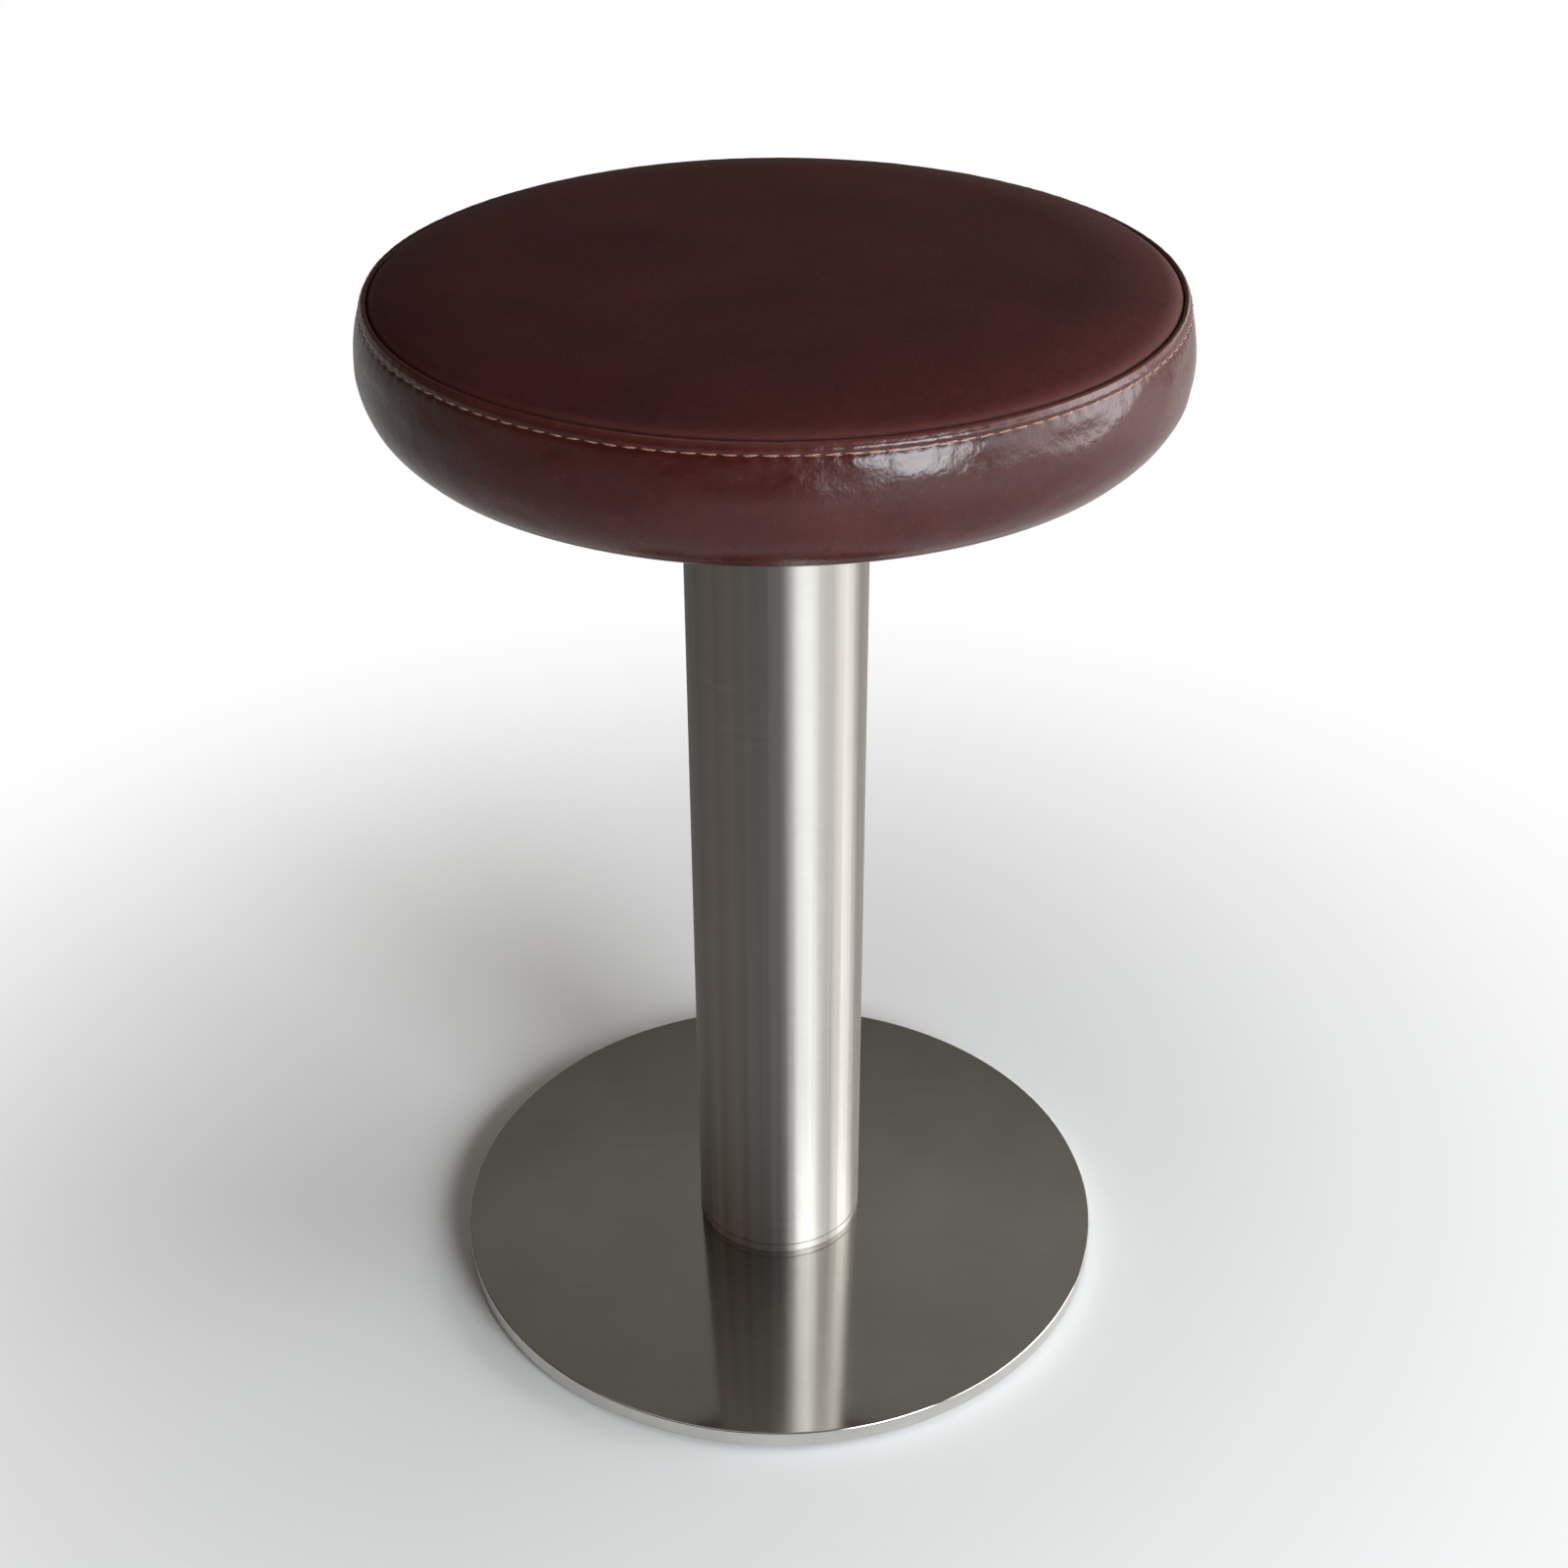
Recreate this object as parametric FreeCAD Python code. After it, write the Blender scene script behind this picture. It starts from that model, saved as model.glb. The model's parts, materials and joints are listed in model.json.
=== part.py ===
"""Pedestal stool: a round padded seat that turns on a fixed steel column with a round base plate.

Millimetres, +Z up. The origin is on the floor, on the column's axis. Heights are worked out by
stacking the named sizes from the floor upwards, and every piece is written to parts/NAME.step.
"""
import FreeCAD
import Part
import math
import os

# Clearances
run_gap = 0.05          # a shaft in its bush, and a ball on its race
fit_gap = 0.1           # pieces that are welded, pressed or screwed together
turn_gap = 0.4          # round faces that turn past each other
soft_gap = 0.3          # leather, foam and cloth beside their neighbours
overrun = 1.0           # how far a cut runs past the face that it opens
edge_break = 0.4        # chamfer on the edges of small turned pieces

# Base plate and the pads under it
pad_d = 25.0
pad_t = 2.5
pad_count = 6
pad_inset = 22.0        # from the plate's edge to the middle of a pad
base_d = 300.0
base_t = 8.0
base_edge = 0.8         # chamfer round the plate

# Column, and the flange that it stands on
post_d = 76.1
post_wall = 2.0
post_length = 403.0
foot_lip_t = 4.0
spigot_t = 20.0
spigot_bore_d = 20.0
foot_screw_d = 8.0
foot_screw_length = 25.0
foot_screw_head_d = 16.0
foot_screw_land = 0.5   # straight rim of the countersunk head
foot_screw_key = 5.0    # across the flats of its socket
foot_screw_key_depth = 2.6
foot_screw_inset = 13.0  # from the spigot's side to the middle of a screw
foot_screw_count = 4

# Bearing head, closed into the top of the column
head_gap = 3.0          # from the column's top to the seat plate
plug_t = 20.0
spindle_d = 25.0
spindle_end = 4.0       # how far the spindle runs below its circlip
spindle_chamfer = 1.0
bush_wall = 2.0
bush_length = 20.0
bush_flange_t = 2.0
sleeve_wall = 3.0
sleeve_length = 60.0
end_washer_t = 2.0
end_washer_width = 4.5
circlip_t = 1.2
circlip_width = 2.6
circlip_depth = 0.6     # how deep its groove is in the spindle
circlip_mouth = 9.0     # width of its open side
circlip_ear_d = 5.0
circlip_ear_hole_d = 2.0
axial_play = 0.3        # under the lower bush, so that the seat turns freely

# Thrust bearing under the seat plate
race_width = 8.5        # from a race washer's bore to its rim
race_t = 3.4
race_depth = 0.7        # how deep a ball sits in each race
ball_d = 5.5
ball_wall = 1.1         # cage left between two balls
cage_t = 2.4
cage_edge = 0.7         # from the cage to the spindle, and to the races' rims

# Seat plate and its fasteners
seat_plate_d = 170.0
seat_plate_t = 4.0
plate_screw_d = 6.0
plate_screw_length = 16.0
plate_screw_head_d = 11.0
plate_screw_head_t = 3.3
plate_screw_key = 4.0
plate_screw_key_depth = 2.0
plate_screw_inset = 15.0  # from the plate's edge to the middle of a screw
plate_screw_count = 4
nut_flange_d = 19.0
nut_flange_t = 1.3
nut_barrel_d = 7.8
nut_barrel_length = 10.0

# Seat board
board_d = 290.0
board_t = 15.0
board_edge = 3.0        # rounded lower edge

# Cushion: heights are above the board's underside, and widths are beyond the board's rim
leather_t = 1.1
side_swell = 15.8       # widest part of the side
swell_up = 24.0
seam_out = 9.2          # the groove between the side and the top
seam_up = 48.8
hem_out = 5.8           # where the side leaves the board's lower edge
hem_up = 2.4
hem_in = 2.0            # inside the board's rim, where the leather turns under
tuck_width = 25.0       # leather under the board
stitch_down = 4.1       # topstitch below the seam
stitch_out = 12.7
lip_fill = 0.4          # between the two layers of the side's folded edge
allowance = 8.0         # leather turned down inside the seam
seam_gap = 0.3          # between the side's turned edge and the top's
groove_depth = 0.6      # the top starts this much below the side's folded edge
shoulder_in = 4.3       # the top's rounded edge
shoulder_up = 3.2
slope_in = 32.0         # the part of the top that slopes up from its rounded edge
slope_up = 4.6
crown_up = 1.9          # the flat dome inside that slope
hem_bulge = 1.05
belly_bulge = 2.6
chest_bulge = 0.8
lip_bulge = 0.2
shoulder_bulge = 0.95
slope_bulge = 0.85
skirt_up = 3.0          # the foam beside the board stops this far above its underside

# Topstitch round the side
stitch_pitch = 6.75
stitch_length = 5.4
thread_d = 0.9
thread_tip = 0.3        # how far each stitch narrows at its ends
stitch_lift = 0.15      # from the leather to the thread

# Cloth under the seat, and the staples
cloth_t = 0.5
cloth_rim_in = 4.0      # from the board's rim to the cloth's edge
cloth_free = 2.0        # flat cloth past the seat plate's edge
cloth_lap = 3.0         # from the leather's inner edge to the cloth's lowest part
staple_crown = 10.0
staple_leg = 8.0
staple_wire_t = 0.7
staple_wire_width = 1.0
leather_staple_in = 17.0
leather_staple_pitch = 22.0
cloth_staple_in = 8.0
cloth_staple_pitch = 40.0

# Radii worked out from the sizes above
post_r = post_d / 2
bore_r = post_r - post_wall
spigot_r = bore_r - fit_gap
foot_screw_ring = spigot_r - foot_screw_inset
pad_ring = base_d / 2 - pad_inset
spindle_r = spindle_d / 2
bush_inner_r = spindle_r + run_gap
bush_outer_r = bush_inner_r + bush_wall
sleeve_inner_r = bush_outer_r + run_gap
sleeve_outer_r = sleeve_inner_r + sleeve_wall
race_inner_r = spindle_r + fit_gap
race_outer_r = race_inner_r + race_width
ball_ring = (race_inner_r + race_outer_r) / 2
plate_screw_ring = seat_plate_d / 2 - plate_screw_inset
board_r = board_d / 2
seam_r = board_r + seam_out
lip_width = 2 * leather_t + lip_fill
panel_r = seam_r - seam_gap
tuck_r = board_r - tuck_width
cloth_r = board_r - cloth_rim_in

# Heights worked out from the sizes above
base_z = pad_t
lip_z = base_z + base_t
post_z = lip_z + foot_lip_t
post_top_z = post_z + post_length
plate_z = post_top_z + head_gap
plate_top_z = plate_z + seat_plate_t
board_z = plate_top_z + cloth_t
board_top_z = board_z + board_t
tuck_z = board_z - leather_t
cloth_z = tuck_z - staple_wire_t - cloth_t
ball_space = ball_d + 2 * run_gap - 2 * race_depth
bearing_z = plate_z - 2 * race_t - ball_space
lower_race_top_z = bearing_z + race_t
ball_z = lower_race_top_z + ball_space / 2
sleeve_z = bearing_z - sleeve_length
bush_flange_z = sleeve_z - bush_flange_t
end_washer_z = bush_flange_z - axial_play - end_washer_t
circlip_z = end_washer_z - circlip_t
spindle_z = circlip_z - spindle_end
seam_z = board_z + seam_up
lip_r = lip_width / 2
stitch_r = board_r + stitch_out
stitch_z = seam_z - stitch_down
panel_z = seam_z - groove_depth
allowance_z = seam_z - allowance

FULL_TURN = 360.0
ORIGIN = FreeCAD.Vector(0, 0, 0)
UP = FreeCAD.Vector(0, 0, 1)


def at(r, z):
    """A point of the turned sections, at radius r and height z."""
    return FreeCAD.Vector(r, 0, z)


def chain(start, steps):
    """Edges from start through (r, z) corners, or (r, z, bulge) for an arc that bulges to the right."""
    edges = []
    here = at(*start)
    for r, z, *bulge in steps:
        there = at(r, z)
        if bulge:
            along = there - here
            right = FreeCAD.Vector(along.z, 0, -along.x).normalize()
            middle = (here + there) * 0.5 + right * bulge[0]
            edges.append(Part.Arc(here, middle, there).toShape())
        else:
            edges.append(Part.LineSegment(here, there).toShape())
        here = there
    return edges


def turned(start, steps):
    """The solid that a closed outline sweeps round the axis."""
    outline = Part.Wire(chain(start, list(steps) + [start]))
    return Part.Face(outline).revolve(ORIGIN, UP, FULL_TURN)


def rod(radius, low, high):
    """A plain cylinder on the axis."""
    return Part.makeCylinder(radius, high - low, at(0, low))


def puck(radius, low, high, chamfer):
    """A disc on the axis with both edges chamfered."""
    return turned((0, low), [
        (radius - chamfer, low),
        (radius, low + chamfer),
        (radius, high - chamfer),
        (radius - chamfer, high),
        (0, high),
    ])


def hoop(inner, outer, low, high, chamfer):
    """A ring on the axis with its outer edges chamfered."""
    return turned((inner, low), [
        (outer - chamfer, low),
        (outer, low + chamfer),
        (outer, high - chamfer),
        (outer - chamfer, high),
        (inner, high),
    ])


def quarter_bulge(radius):
    """How far a quarter circle of this radius stands out from its chord."""
    return radius * (1 - math.sqrt(0.5))


def moved_out(shape, distance):
    """The shape moved from the axis along +X."""
    return shape.translated(FreeCAD.Vector(distance, 0, 0))


def around(shape, count, first_share=0.0):
    """Copies spaced evenly about the axis, from first_share of a space on."""
    step = FULL_TURN / count
    return [shape.rotated(ORIGIN, UP, (number + first_share) * step) for number in range(count)]


def socket(flats, low, high):
    """The space of a hexagon socket, on the axis."""
    corner = flats / math.sqrt(3)
    places = [math.radians(FULL_TURN / 6 * number) for number in range(7)]
    points = [FreeCAD.Vector(corner * math.cos(a), corner * math.sin(a), low) for a in places]
    return Part.Face(Part.makePolygon(points)).extrude(UP * (high - low))


def floor_pads():
    """Rubber pads stuck under the base plate."""
    pad = puck(pad_d / 2, 0, pad_t, edge_break)
    return around(moved_out(pad, pad_ring), pad_count)


def foot_screw_body(room=0.0):
    """A countersunk screw that stands on the plate's underside, wider by room all round."""
    shank_r = foot_screw_d / 2 + room
    head_r = foot_screw_head_d / 2 + room
    rim_z = base_z + foot_screw_land
    return turned((0, base_z - room), [
        (head_r, base_z - room),
        (head_r, rim_z),
        (shank_r, rim_z + head_r - shank_r),
        (shank_r, base_z + foot_screw_length + room),
        (0, base_z + foot_screw_length + room),
    ])


def foot_screws():
    """Screws from under the plate into the foot flange."""
    key = socket(foot_screw_key, base_z - overrun, base_z + foot_screw_key_depth)
    screw = foot_screw_body().cut(key)
    return around(moved_out(screw, foot_screw_ring), foot_screw_count)


def foot_screw_rooms():
    """The holes for those screws."""
    return around(moved_out(foot_screw_body(fit_gap), foot_screw_ring), foot_screw_count)


def base_plate():
    """Round plate with countersunk holes."""
    return puck(base_d / 2, base_z, lip_z, base_edge).cut(foot_screw_rooms())


def foot_flange():
    """Turned foot: a lip as wide as the column, and a spigot inside it."""
    top = post_z + spigot_t
    body = turned((spigot_bore_d / 2, lip_z), [
        (post_r, lip_z),
        (post_r, post_z),
        (spigot_r, post_z),
        (spigot_r, top - edge_break),
        (spigot_r - edge_break, top),
        (spigot_bore_d / 2, top),
    ])
    return body.cut(foot_screw_rooms())


def post_tube():
    """Steel tube of the column."""
    return rod(post_r, post_z, post_top_z).cut(rod(bore_r, post_z - overrun, post_top_z + overrun))


def head_plug():
    """Disc in the column's top, bored for the sleeve and recessed for the thrust bearing."""
    low = post_top_z - plug_t
    bore = sleeve_outer_r + fit_gap
    recess = race_outer_r + turn_gap
    return turned((bore, low), [
        (bore_r - fit_gap, low),
        (bore_r - fit_gap, post_top_z),
        (recess, post_top_z),
        (recess, bearing_z),
        (bore, bearing_z),
    ])


def bearing_sleeve():
    """Tube in the plug that holds both bushes."""
    return hoop(sleeve_inner_r, sleeve_outer_r, sleeve_z, bearing_z, edge_break)


def upper_bush():
    """Plain bush at the top of the sleeve."""
    return hoop(bush_inner_r, bush_outer_r, bearing_z - bush_length, bearing_z, edge_break)


def lower_bush():
    """Flanged bush at the foot of the sleeve."""
    return turned((bush_inner_r, bush_flange_z), [
        (sleeve_outer_r, bush_flange_z),
        (sleeve_outer_r, sleeve_z),
        (bush_outer_r, sleeve_z),
        (bush_outer_r, sleeve_z + bush_length),
        (bush_inner_r, sleeve_z + bush_length),
    ])


def ball_track():
    """The rounded channel that the balls roll in."""
    return Part.makeTorus(ball_ring, ball_d / 2 + run_gap, at(0, ball_z))


def thrust_washer_lower():
    """Race washer that lies in the head plug."""
    washer = hoop(race_inner_r, race_outer_r, bearing_z, lower_race_top_z, edge_break)
    return washer.cut(ball_track())


def thrust_washer_upper():
    """Race washer that lies under the seat plate."""
    washer = hoop(race_inner_r, race_outer_r, plate_z - race_t, plate_z, edge_break)
    return washer.cut(ball_track())


def ball_count():
    """As many balls as the cage has room for."""
    pitch = ball_d + 2 * run_gap + ball_wall
    return int(2 * math.pi * ball_ring / pitch)


def thrust_balls():
    """Steel balls between the two races."""
    ball = Part.makeSphere(ball_d / 2, at(ball_ring, ball_z))
    return around(ball, ball_count())


def thrust_cage():
    """Flat ring that keeps the balls apart."""
    low = ball_z - cage_t / 2
    high = ball_z + cage_t / 2
    ring = rod(race_outer_r - cage_edge, low, high).cut(rod(race_inner_r + cage_edge, low, high))
    pocket = rod(ball_d / 2 + 2 * run_gap, low - overrun, high + overrun)
    return ring.cut(around(moved_out(pocket, ball_ring), ball_count()))


def swivel_spindle():
    """Shaft welded into the seat plate, with a groove for its circlip."""
    groove_r = spindle_r - circlip_depth
    return turned((0, spindle_z), [
        (spindle_r - spindle_chamfer, spindle_z),
        (spindle_r, spindle_z + spindle_chamfer),
        (spindle_r, circlip_z - fit_gap),
        (groove_r, circlip_z - fit_gap),
        (groove_r, end_washer_z),
        (spindle_r, end_washer_z),
        (spindle_r, plate_top_z),
        (0, plate_top_z),
    ])


def spindle_washer():
    """Washer between the circlip and the lower bush."""
    inner = spindle_r + fit_gap
    return hoop(inner, inner + end_washer_width, end_washer_z, end_washer_z + end_washer_t, edge_break)


def spindle_circlip():
    """Open spring ring with two ears, in the spindle's groove."""
    inner = spindle_r - circlip_depth + fit_gap
    outer = inner + circlip_width
    high = circlip_z + circlip_t
    ear_r = circlip_ear_d / 2
    side = circlip_mouth / 2 + ear_r
    ear_x = math.sqrt((inner + ear_r) ** 2 - side ** 2)
    ring = rod(outer, circlip_z, high)
    for sign in (-1, 1):
        place = FreeCAD.Vector(ear_x, sign * side, circlip_z)
        ring = ring.fuse(Part.makeCylinder(ear_r, circlip_t, place))
    corner = FreeCAD.Vector(0, -circlip_mouth / 2, circlip_z)
    ring = ring.cut(Part.makeBox(outer + circlip_ear_d, circlip_mouth, circlip_t, corner))
    ring = ring.cut(rod(inner, circlip_z, high))
    for sign in (-1, 1):
        place = FreeCAD.Vector(ear_x, sign * side, circlip_z)
        ring = ring.cut(Part.makeCylinder(circlip_ear_hole_d / 2, circlip_t, place))
    return ring


def seat_plate():
    """Steel disc that carries the seat board."""
    hole = rod(plate_screw_d / 2 + fit_gap, plate_z - overrun, plate_top_z + overrun)
    centre = rod(spindle_r + run_gap, plate_z - overrun, plate_top_z + overrun)
    disc = puck(seat_plate_d / 2, plate_z, plate_top_z, edge_break)
    return disc.cut([centre] + around(moved_out(hole, plate_screw_ring), plate_screw_count, 0.5))


def seat_plate_screws():
    """Socket screws up through the seat plate into the tee nuts."""
    head_z = plate_z - plate_screw_head_t
    shank = rod(plate_screw_d / 2, plate_z, plate_z + plate_screw_length)
    screw = puck(plate_screw_head_d / 2, head_z, plate_z, edge_break).fuse(shank)
    screw = screw.cut(socket(plate_screw_key, head_z - overrun, head_z + plate_screw_key_depth))
    return around(moved_out(screw, plate_screw_ring), plate_screw_count, 0.5)


def t_nuts():
    """Tee nuts pressed into the board from above."""
    flange = puck(nut_flange_d / 2, board_top_z, board_top_z + nut_flange_t, edge_break)
    barrel = rod(nut_barrel_d / 2, board_top_z - nut_barrel_length, board_top_z)
    thread = rod(plate_screw_d / 2 + fit_gap, board_z, board_top_z + nut_flange_t + overrun)
    nut = flange.fuse(barrel).cut(thread)
    return around(moved_out(nut, plate_screw_ring), plate_screw_count, 0.5)


def staple(ring, under_z):
    """A wire staple across the radius, driven up into what lies above under_z."""
    half = staple_crown / 2
    inside = half - staple_wire_t
    low = under_z - staple_wire_t
    top = under_z + staple_leg
    corners = [
        (-half, low), (half, low), (half, top), (inside, top),
        (inside, under_z), (-inside, under_z), (-inside, top), (-half, top), (-half, low),
    ]
    start = ring - staple_wire_width / 2
    points = [FreeCAD.Vector(start, y, z) for y, z in corners]
    return Part.Face(Part.makePolygon(points)).extrude(FreeCAD.Vector(staple_wire_width, 0, 0))


def staple_count(ring, pitch):
    """How many staples go round at about this pitch."""
    return round(2 * math.pi * ring / pitch)


def leg_rooms(ring, under_z, count):
    """Slots for the legs of a round of staples."""
    width = staple_wire_width + 2 * fit_gap
    thick = staple_wire_t + 2 * fit_gap
    low = under_z - fit_gap
    rooms = []
    for side in (-1, 1):
        middle = side * (staple_crown - staple_wire_t) / 2
        corner = FreeCAD.Vector(ring - width / 2, middle - thick / 2, low)
        leg = Part.makeBox(width, thick, staple_leg + 2 * fit_gap, corner)
        rooms += around(leg, count)
    return rooms


def cover_staple_place():
    """Ring, height and number of the staples that hold the leather."""
    ring = board_r - leather_staple_in
    return ring, tuck_z, staple_count(ring, leather_staple_pitch)


def cloth_staple_place():
    """Ring, height and number of the staples that hold the cloth."""
    ring = board_r - cloth_staple_in
    return ring, cloth_z, staple_count(ring, cloth_staple_pitch)


def cover_staples():
    """Staples through the leather into the board."""
    ring, under_z, count = cover_staple_place()
    return around(staple(ring, under_z), count)


def dust_cover_staples():
    """Staples through the cloth and the leather into the board."""
    ring, under_z, count = cloth_staple_place()
    return around(staple(ring, under_z), count)


def all_leg_rooms():
    """Slots for the legs of both rounds of staples."""
    return leg_rooms(*cover_staple_place()) + leg_rooms(*cloth_staple_place())


def seat_board():
    """Plywood disc with holes for the tee nuts and the staples."""
    disc = turned((0, board_z), [
        (board_r - board_edge, board_z),
        (board_r, board_z + board_edge, quarter_bulge(board_edge)),
        (board_r, board_top_z),
        (0, board_top_z),
    ])
    hole = rod(nut_barrel_d / 2 + fit_gap, board_z - overrun, board_top_z + overrun)
    holes = around(moved_out(hole, plate_screw_ring), plate_screw_count, 0.5)
    return disc.cut(holes + all_leg_rooms())


def side_steps():
    """Outside of the leather side, from where it turns under to the topstitch."""
    return [
        (board_r - hem_in, tuck_z),
        (board_r + hem_out, board_z + hem_up, hem_bulge),
        (board_r + side_swell, board_z + swell_up, belly_bulge),
        (stitch_r, stitch_z, chest_bulge),
    ]


def crown_steps(rim_r, rim_z):
    """Outside of the leather top, from its rim to the middle."""
    slope_r = rim_r - shoulder_in
    slope_z = rim_z + shoulder_up
    dome_r = slope_r - slope_in
    dome_z = slope_z + slope_up
    dome_bulge = math.hypot(dome_r, crown_up) / 2 * math.tan(math.atan2(crown_up, dome_r) / 2)
    return [
        (slope_r, slope_z, shoulder_bulge),
        (dome_r, dome_z, slope_bulge),
        (0, dome_z + crown_up, dome_bulge),
    ]


def skin(start, steps, thickness):
    """A layer inside an outline, which runs with the inside on its left."""
    outline = Part.Wire(chain(start, steps))
    layer = outline.makeOffset2D(thickness, 0, True, True)
    return layer.revolve(ORIGIN, UP, FULL_TURN)


def side_band():
    """Leather side: tucked under the board, with a folded and topstitched upper edge."""
    band = skin((tuck_r, tuck_z), side_steps() + [
        (seam_r + lip_width, seam_z - lip_r, lip_bulge),
        (seam_r + lip_r, seam_z, quarter_bulge(lip_r)),
        (seam_r, seam_z - lip_r, quarter_bulge(lip_r)),
        (seam_r, allowance_z),
    ], leather_t)
    return band.cut(all_leg_rooms())


def top_panel():
    """Leather top: a low crown with a rounded edge, turned down inside the seam."""
    steps = [(panel_r, panel_z)] + crown_steps(panel_r, panel_z)
    return skin((panel_r, allowance_z), steps, leather_t)


def foam_pad():
    """Foam over the board and down its side, inside the leather."""
    steps = side_steps() + [(panel_r, panel_z)] + crown_steps(panel_r, panel_z)
    filled = turned((0, tuck_z), [(tuck_r, tuck_z)] + steps)
    cover = skin((tuck_r, tuck_z), steps, leather_t + soft_gap)
    under = rod(board_r + side_swell, tuck_z, board_z + skirt_up)
    board = rod(board_r + soft_gap, board_z, board_top_z)
    seam_inner = panel_r - leather_t - soft_gap
    seam_low = allowance_z - soft_gap
    seam_room = rod(stitch_r + stitch_out, seam_low, panel_z).cut(rod(seam_inner, seam_low, panel_z))
    nut = rod(nut_flange_d / 2 + soft_gap, board_top_z, board_top_z + nut_flange_t + soft_gap)
    nuts = around(moved_out(nut, plate_screw_ring), plate_screw_count, 0.5)
    return filled.cut([cover, under, board, seam_room] + nuts)


def seam_stitches():
    """Topstitch round the upper edge of the side."""
    lean = at(seam_r + lip_width, seam_z - lip_r) - at(board_r + side_swell, board_z + swell_up)
    outward = FreeCAD.Vector(lean.z, 0, -lean.x).normalize()
    place = at(stitch_r, stitch_z) + outward * (thread_d / 2 + stitch_lift)
    half = stitch_length / 2
    tip_r = thread_d / 2 - thread_tip
    thread = turned((0, -half), [
        (tip_r, -half),
        (thread_d / 2, thread_tip - half),
        (thread_d / 2, half - thread_tip),
        (tip_r, half),
        (0, half),
    ])
    stitch = thread.rotated(ORIGIN, FreeCAD.Vector(1, 0, 0), FULL_TURN / 4).translated(place)
    return around(stitch, round(2 * math.pi * place.x / stitch_pitch))


def dust_cover():
    """Cloth under the board, clamped by the seat plate."""
    flat_r = seat_plate_d / 2 + cloth_free
    low_r = tuck_r - cloth_lap
    sheet = turned((0, plate_top_z), [
        (flat_r, plate_top_z),
        (low_r, cloth_z),
        (cloth_r, cloth_z),
        (cloth_r, cloth_z + cloth_t),
        (low_r, cloth_z + cloth_t),
        (flat_r, board_z),
        (0, board_z),
    ])
    hole = rod(plate_screw_d / 2 + fit_gap, plate_top_z - overrun, board_z + overrun)
    holes = around(moved_out(hole, plate_screw_ring), plate_screw_count, 0.5)
    return sheet.cut(holes + leg_rooms(*cloth_staple_place()))


PIECES = [
    floor_pads, base_plate, foot_screws, foot_flange, post_tube,
    head_plug, bearing_sleeve, upper_bush, lower_bush,
    thrust_washer_lower, thrust_balls, thrust_cage, thrust_washer_upper,
    swivel_spindle, spindle_washer, spindle_circlip,
    seat_plate, seat_plate_screws, t_nuts, seat_board,
    foam_pad, side_band, top_panel, seam_stitches,
    cover_staples, dust_cover, dust_cover_staples,
]


def main():
    """Write each piece, or group of like pieces, to a file of its own."""
    os.makedirs("parts", exist_ok=True)
    for piece in PIECES:
        made = piece()
        shape = Part.makeCompound(made) if isinstance(made, list) else made
        shape.exportStep(os.path.join("parts", piece.__name__ + ".step"))
        print(piece.__name__, len(shape.Solids), round(shape.Volume), shape.isValid())


main()
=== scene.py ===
"""Looks of a pedestal stool: its finishes, leather cover, topstitch, floor, lamps and camera.

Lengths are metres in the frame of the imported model: +Z is up, the floor is at zero and the column
stands on the Z axis. Sizes written in millimetres are multiplied by MM.
"""
import json
import logging
import math
from collections.abc import Callable
from dataclasses import dataclass
from enum import Enum

import bmesh
import bpy
import numpy as np
from mathutils import Matrix, Vector, kdtree, noise

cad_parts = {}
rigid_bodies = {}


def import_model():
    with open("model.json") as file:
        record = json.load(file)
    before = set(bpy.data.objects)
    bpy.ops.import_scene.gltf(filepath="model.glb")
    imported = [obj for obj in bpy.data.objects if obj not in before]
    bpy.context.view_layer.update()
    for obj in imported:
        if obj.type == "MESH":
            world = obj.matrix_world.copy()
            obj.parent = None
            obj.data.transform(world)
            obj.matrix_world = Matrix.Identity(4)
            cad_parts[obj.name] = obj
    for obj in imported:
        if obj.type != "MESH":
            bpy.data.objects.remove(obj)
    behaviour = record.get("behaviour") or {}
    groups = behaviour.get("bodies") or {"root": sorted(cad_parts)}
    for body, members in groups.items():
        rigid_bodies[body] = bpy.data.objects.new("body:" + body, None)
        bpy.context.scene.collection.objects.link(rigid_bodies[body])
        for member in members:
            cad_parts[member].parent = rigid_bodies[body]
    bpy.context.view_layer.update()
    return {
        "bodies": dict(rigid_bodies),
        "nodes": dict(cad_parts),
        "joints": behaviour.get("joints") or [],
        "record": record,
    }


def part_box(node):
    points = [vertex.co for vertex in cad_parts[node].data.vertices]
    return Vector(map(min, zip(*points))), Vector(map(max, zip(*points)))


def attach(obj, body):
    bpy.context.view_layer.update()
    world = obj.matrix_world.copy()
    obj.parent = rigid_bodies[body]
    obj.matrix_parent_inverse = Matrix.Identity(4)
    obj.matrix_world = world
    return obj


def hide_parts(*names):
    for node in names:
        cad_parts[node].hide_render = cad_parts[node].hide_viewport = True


LOG = logging.getLogger("stool")
MM = 0.001
FULL_TURN = 2 * math.pi
PHOTO_PIXELS = 1600
SENSOR_MM = 36.0
AROUND = 588            # columns of a turned mesh, four to each stitch
INNER_STEP = 3          # a layer's inner face keeps every third ring
ON_AXIS = 1e-7          # a smaller radius is a pole
WHITE = (1.0, 1.0, 1.0, 1.0)

Steps = list[tuple[float, ...]]
Section = list[tuple[float, float]]
Triple = tuple[float, float, float]
Colour = Triple
Shift = Callable[[float, float, float], float]
Material = bpy.types.Material
Piece = bpy.types.Object
Socket = bpy.types.NodeSocket
Sockets = bpy.types.NodeOutputs
Tree = bpy.types.NodeTree


class Body(Enum):
    """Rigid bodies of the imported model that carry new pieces."""

    PEDESTAL = "pedestal"
    SEAT = "seat"


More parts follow.
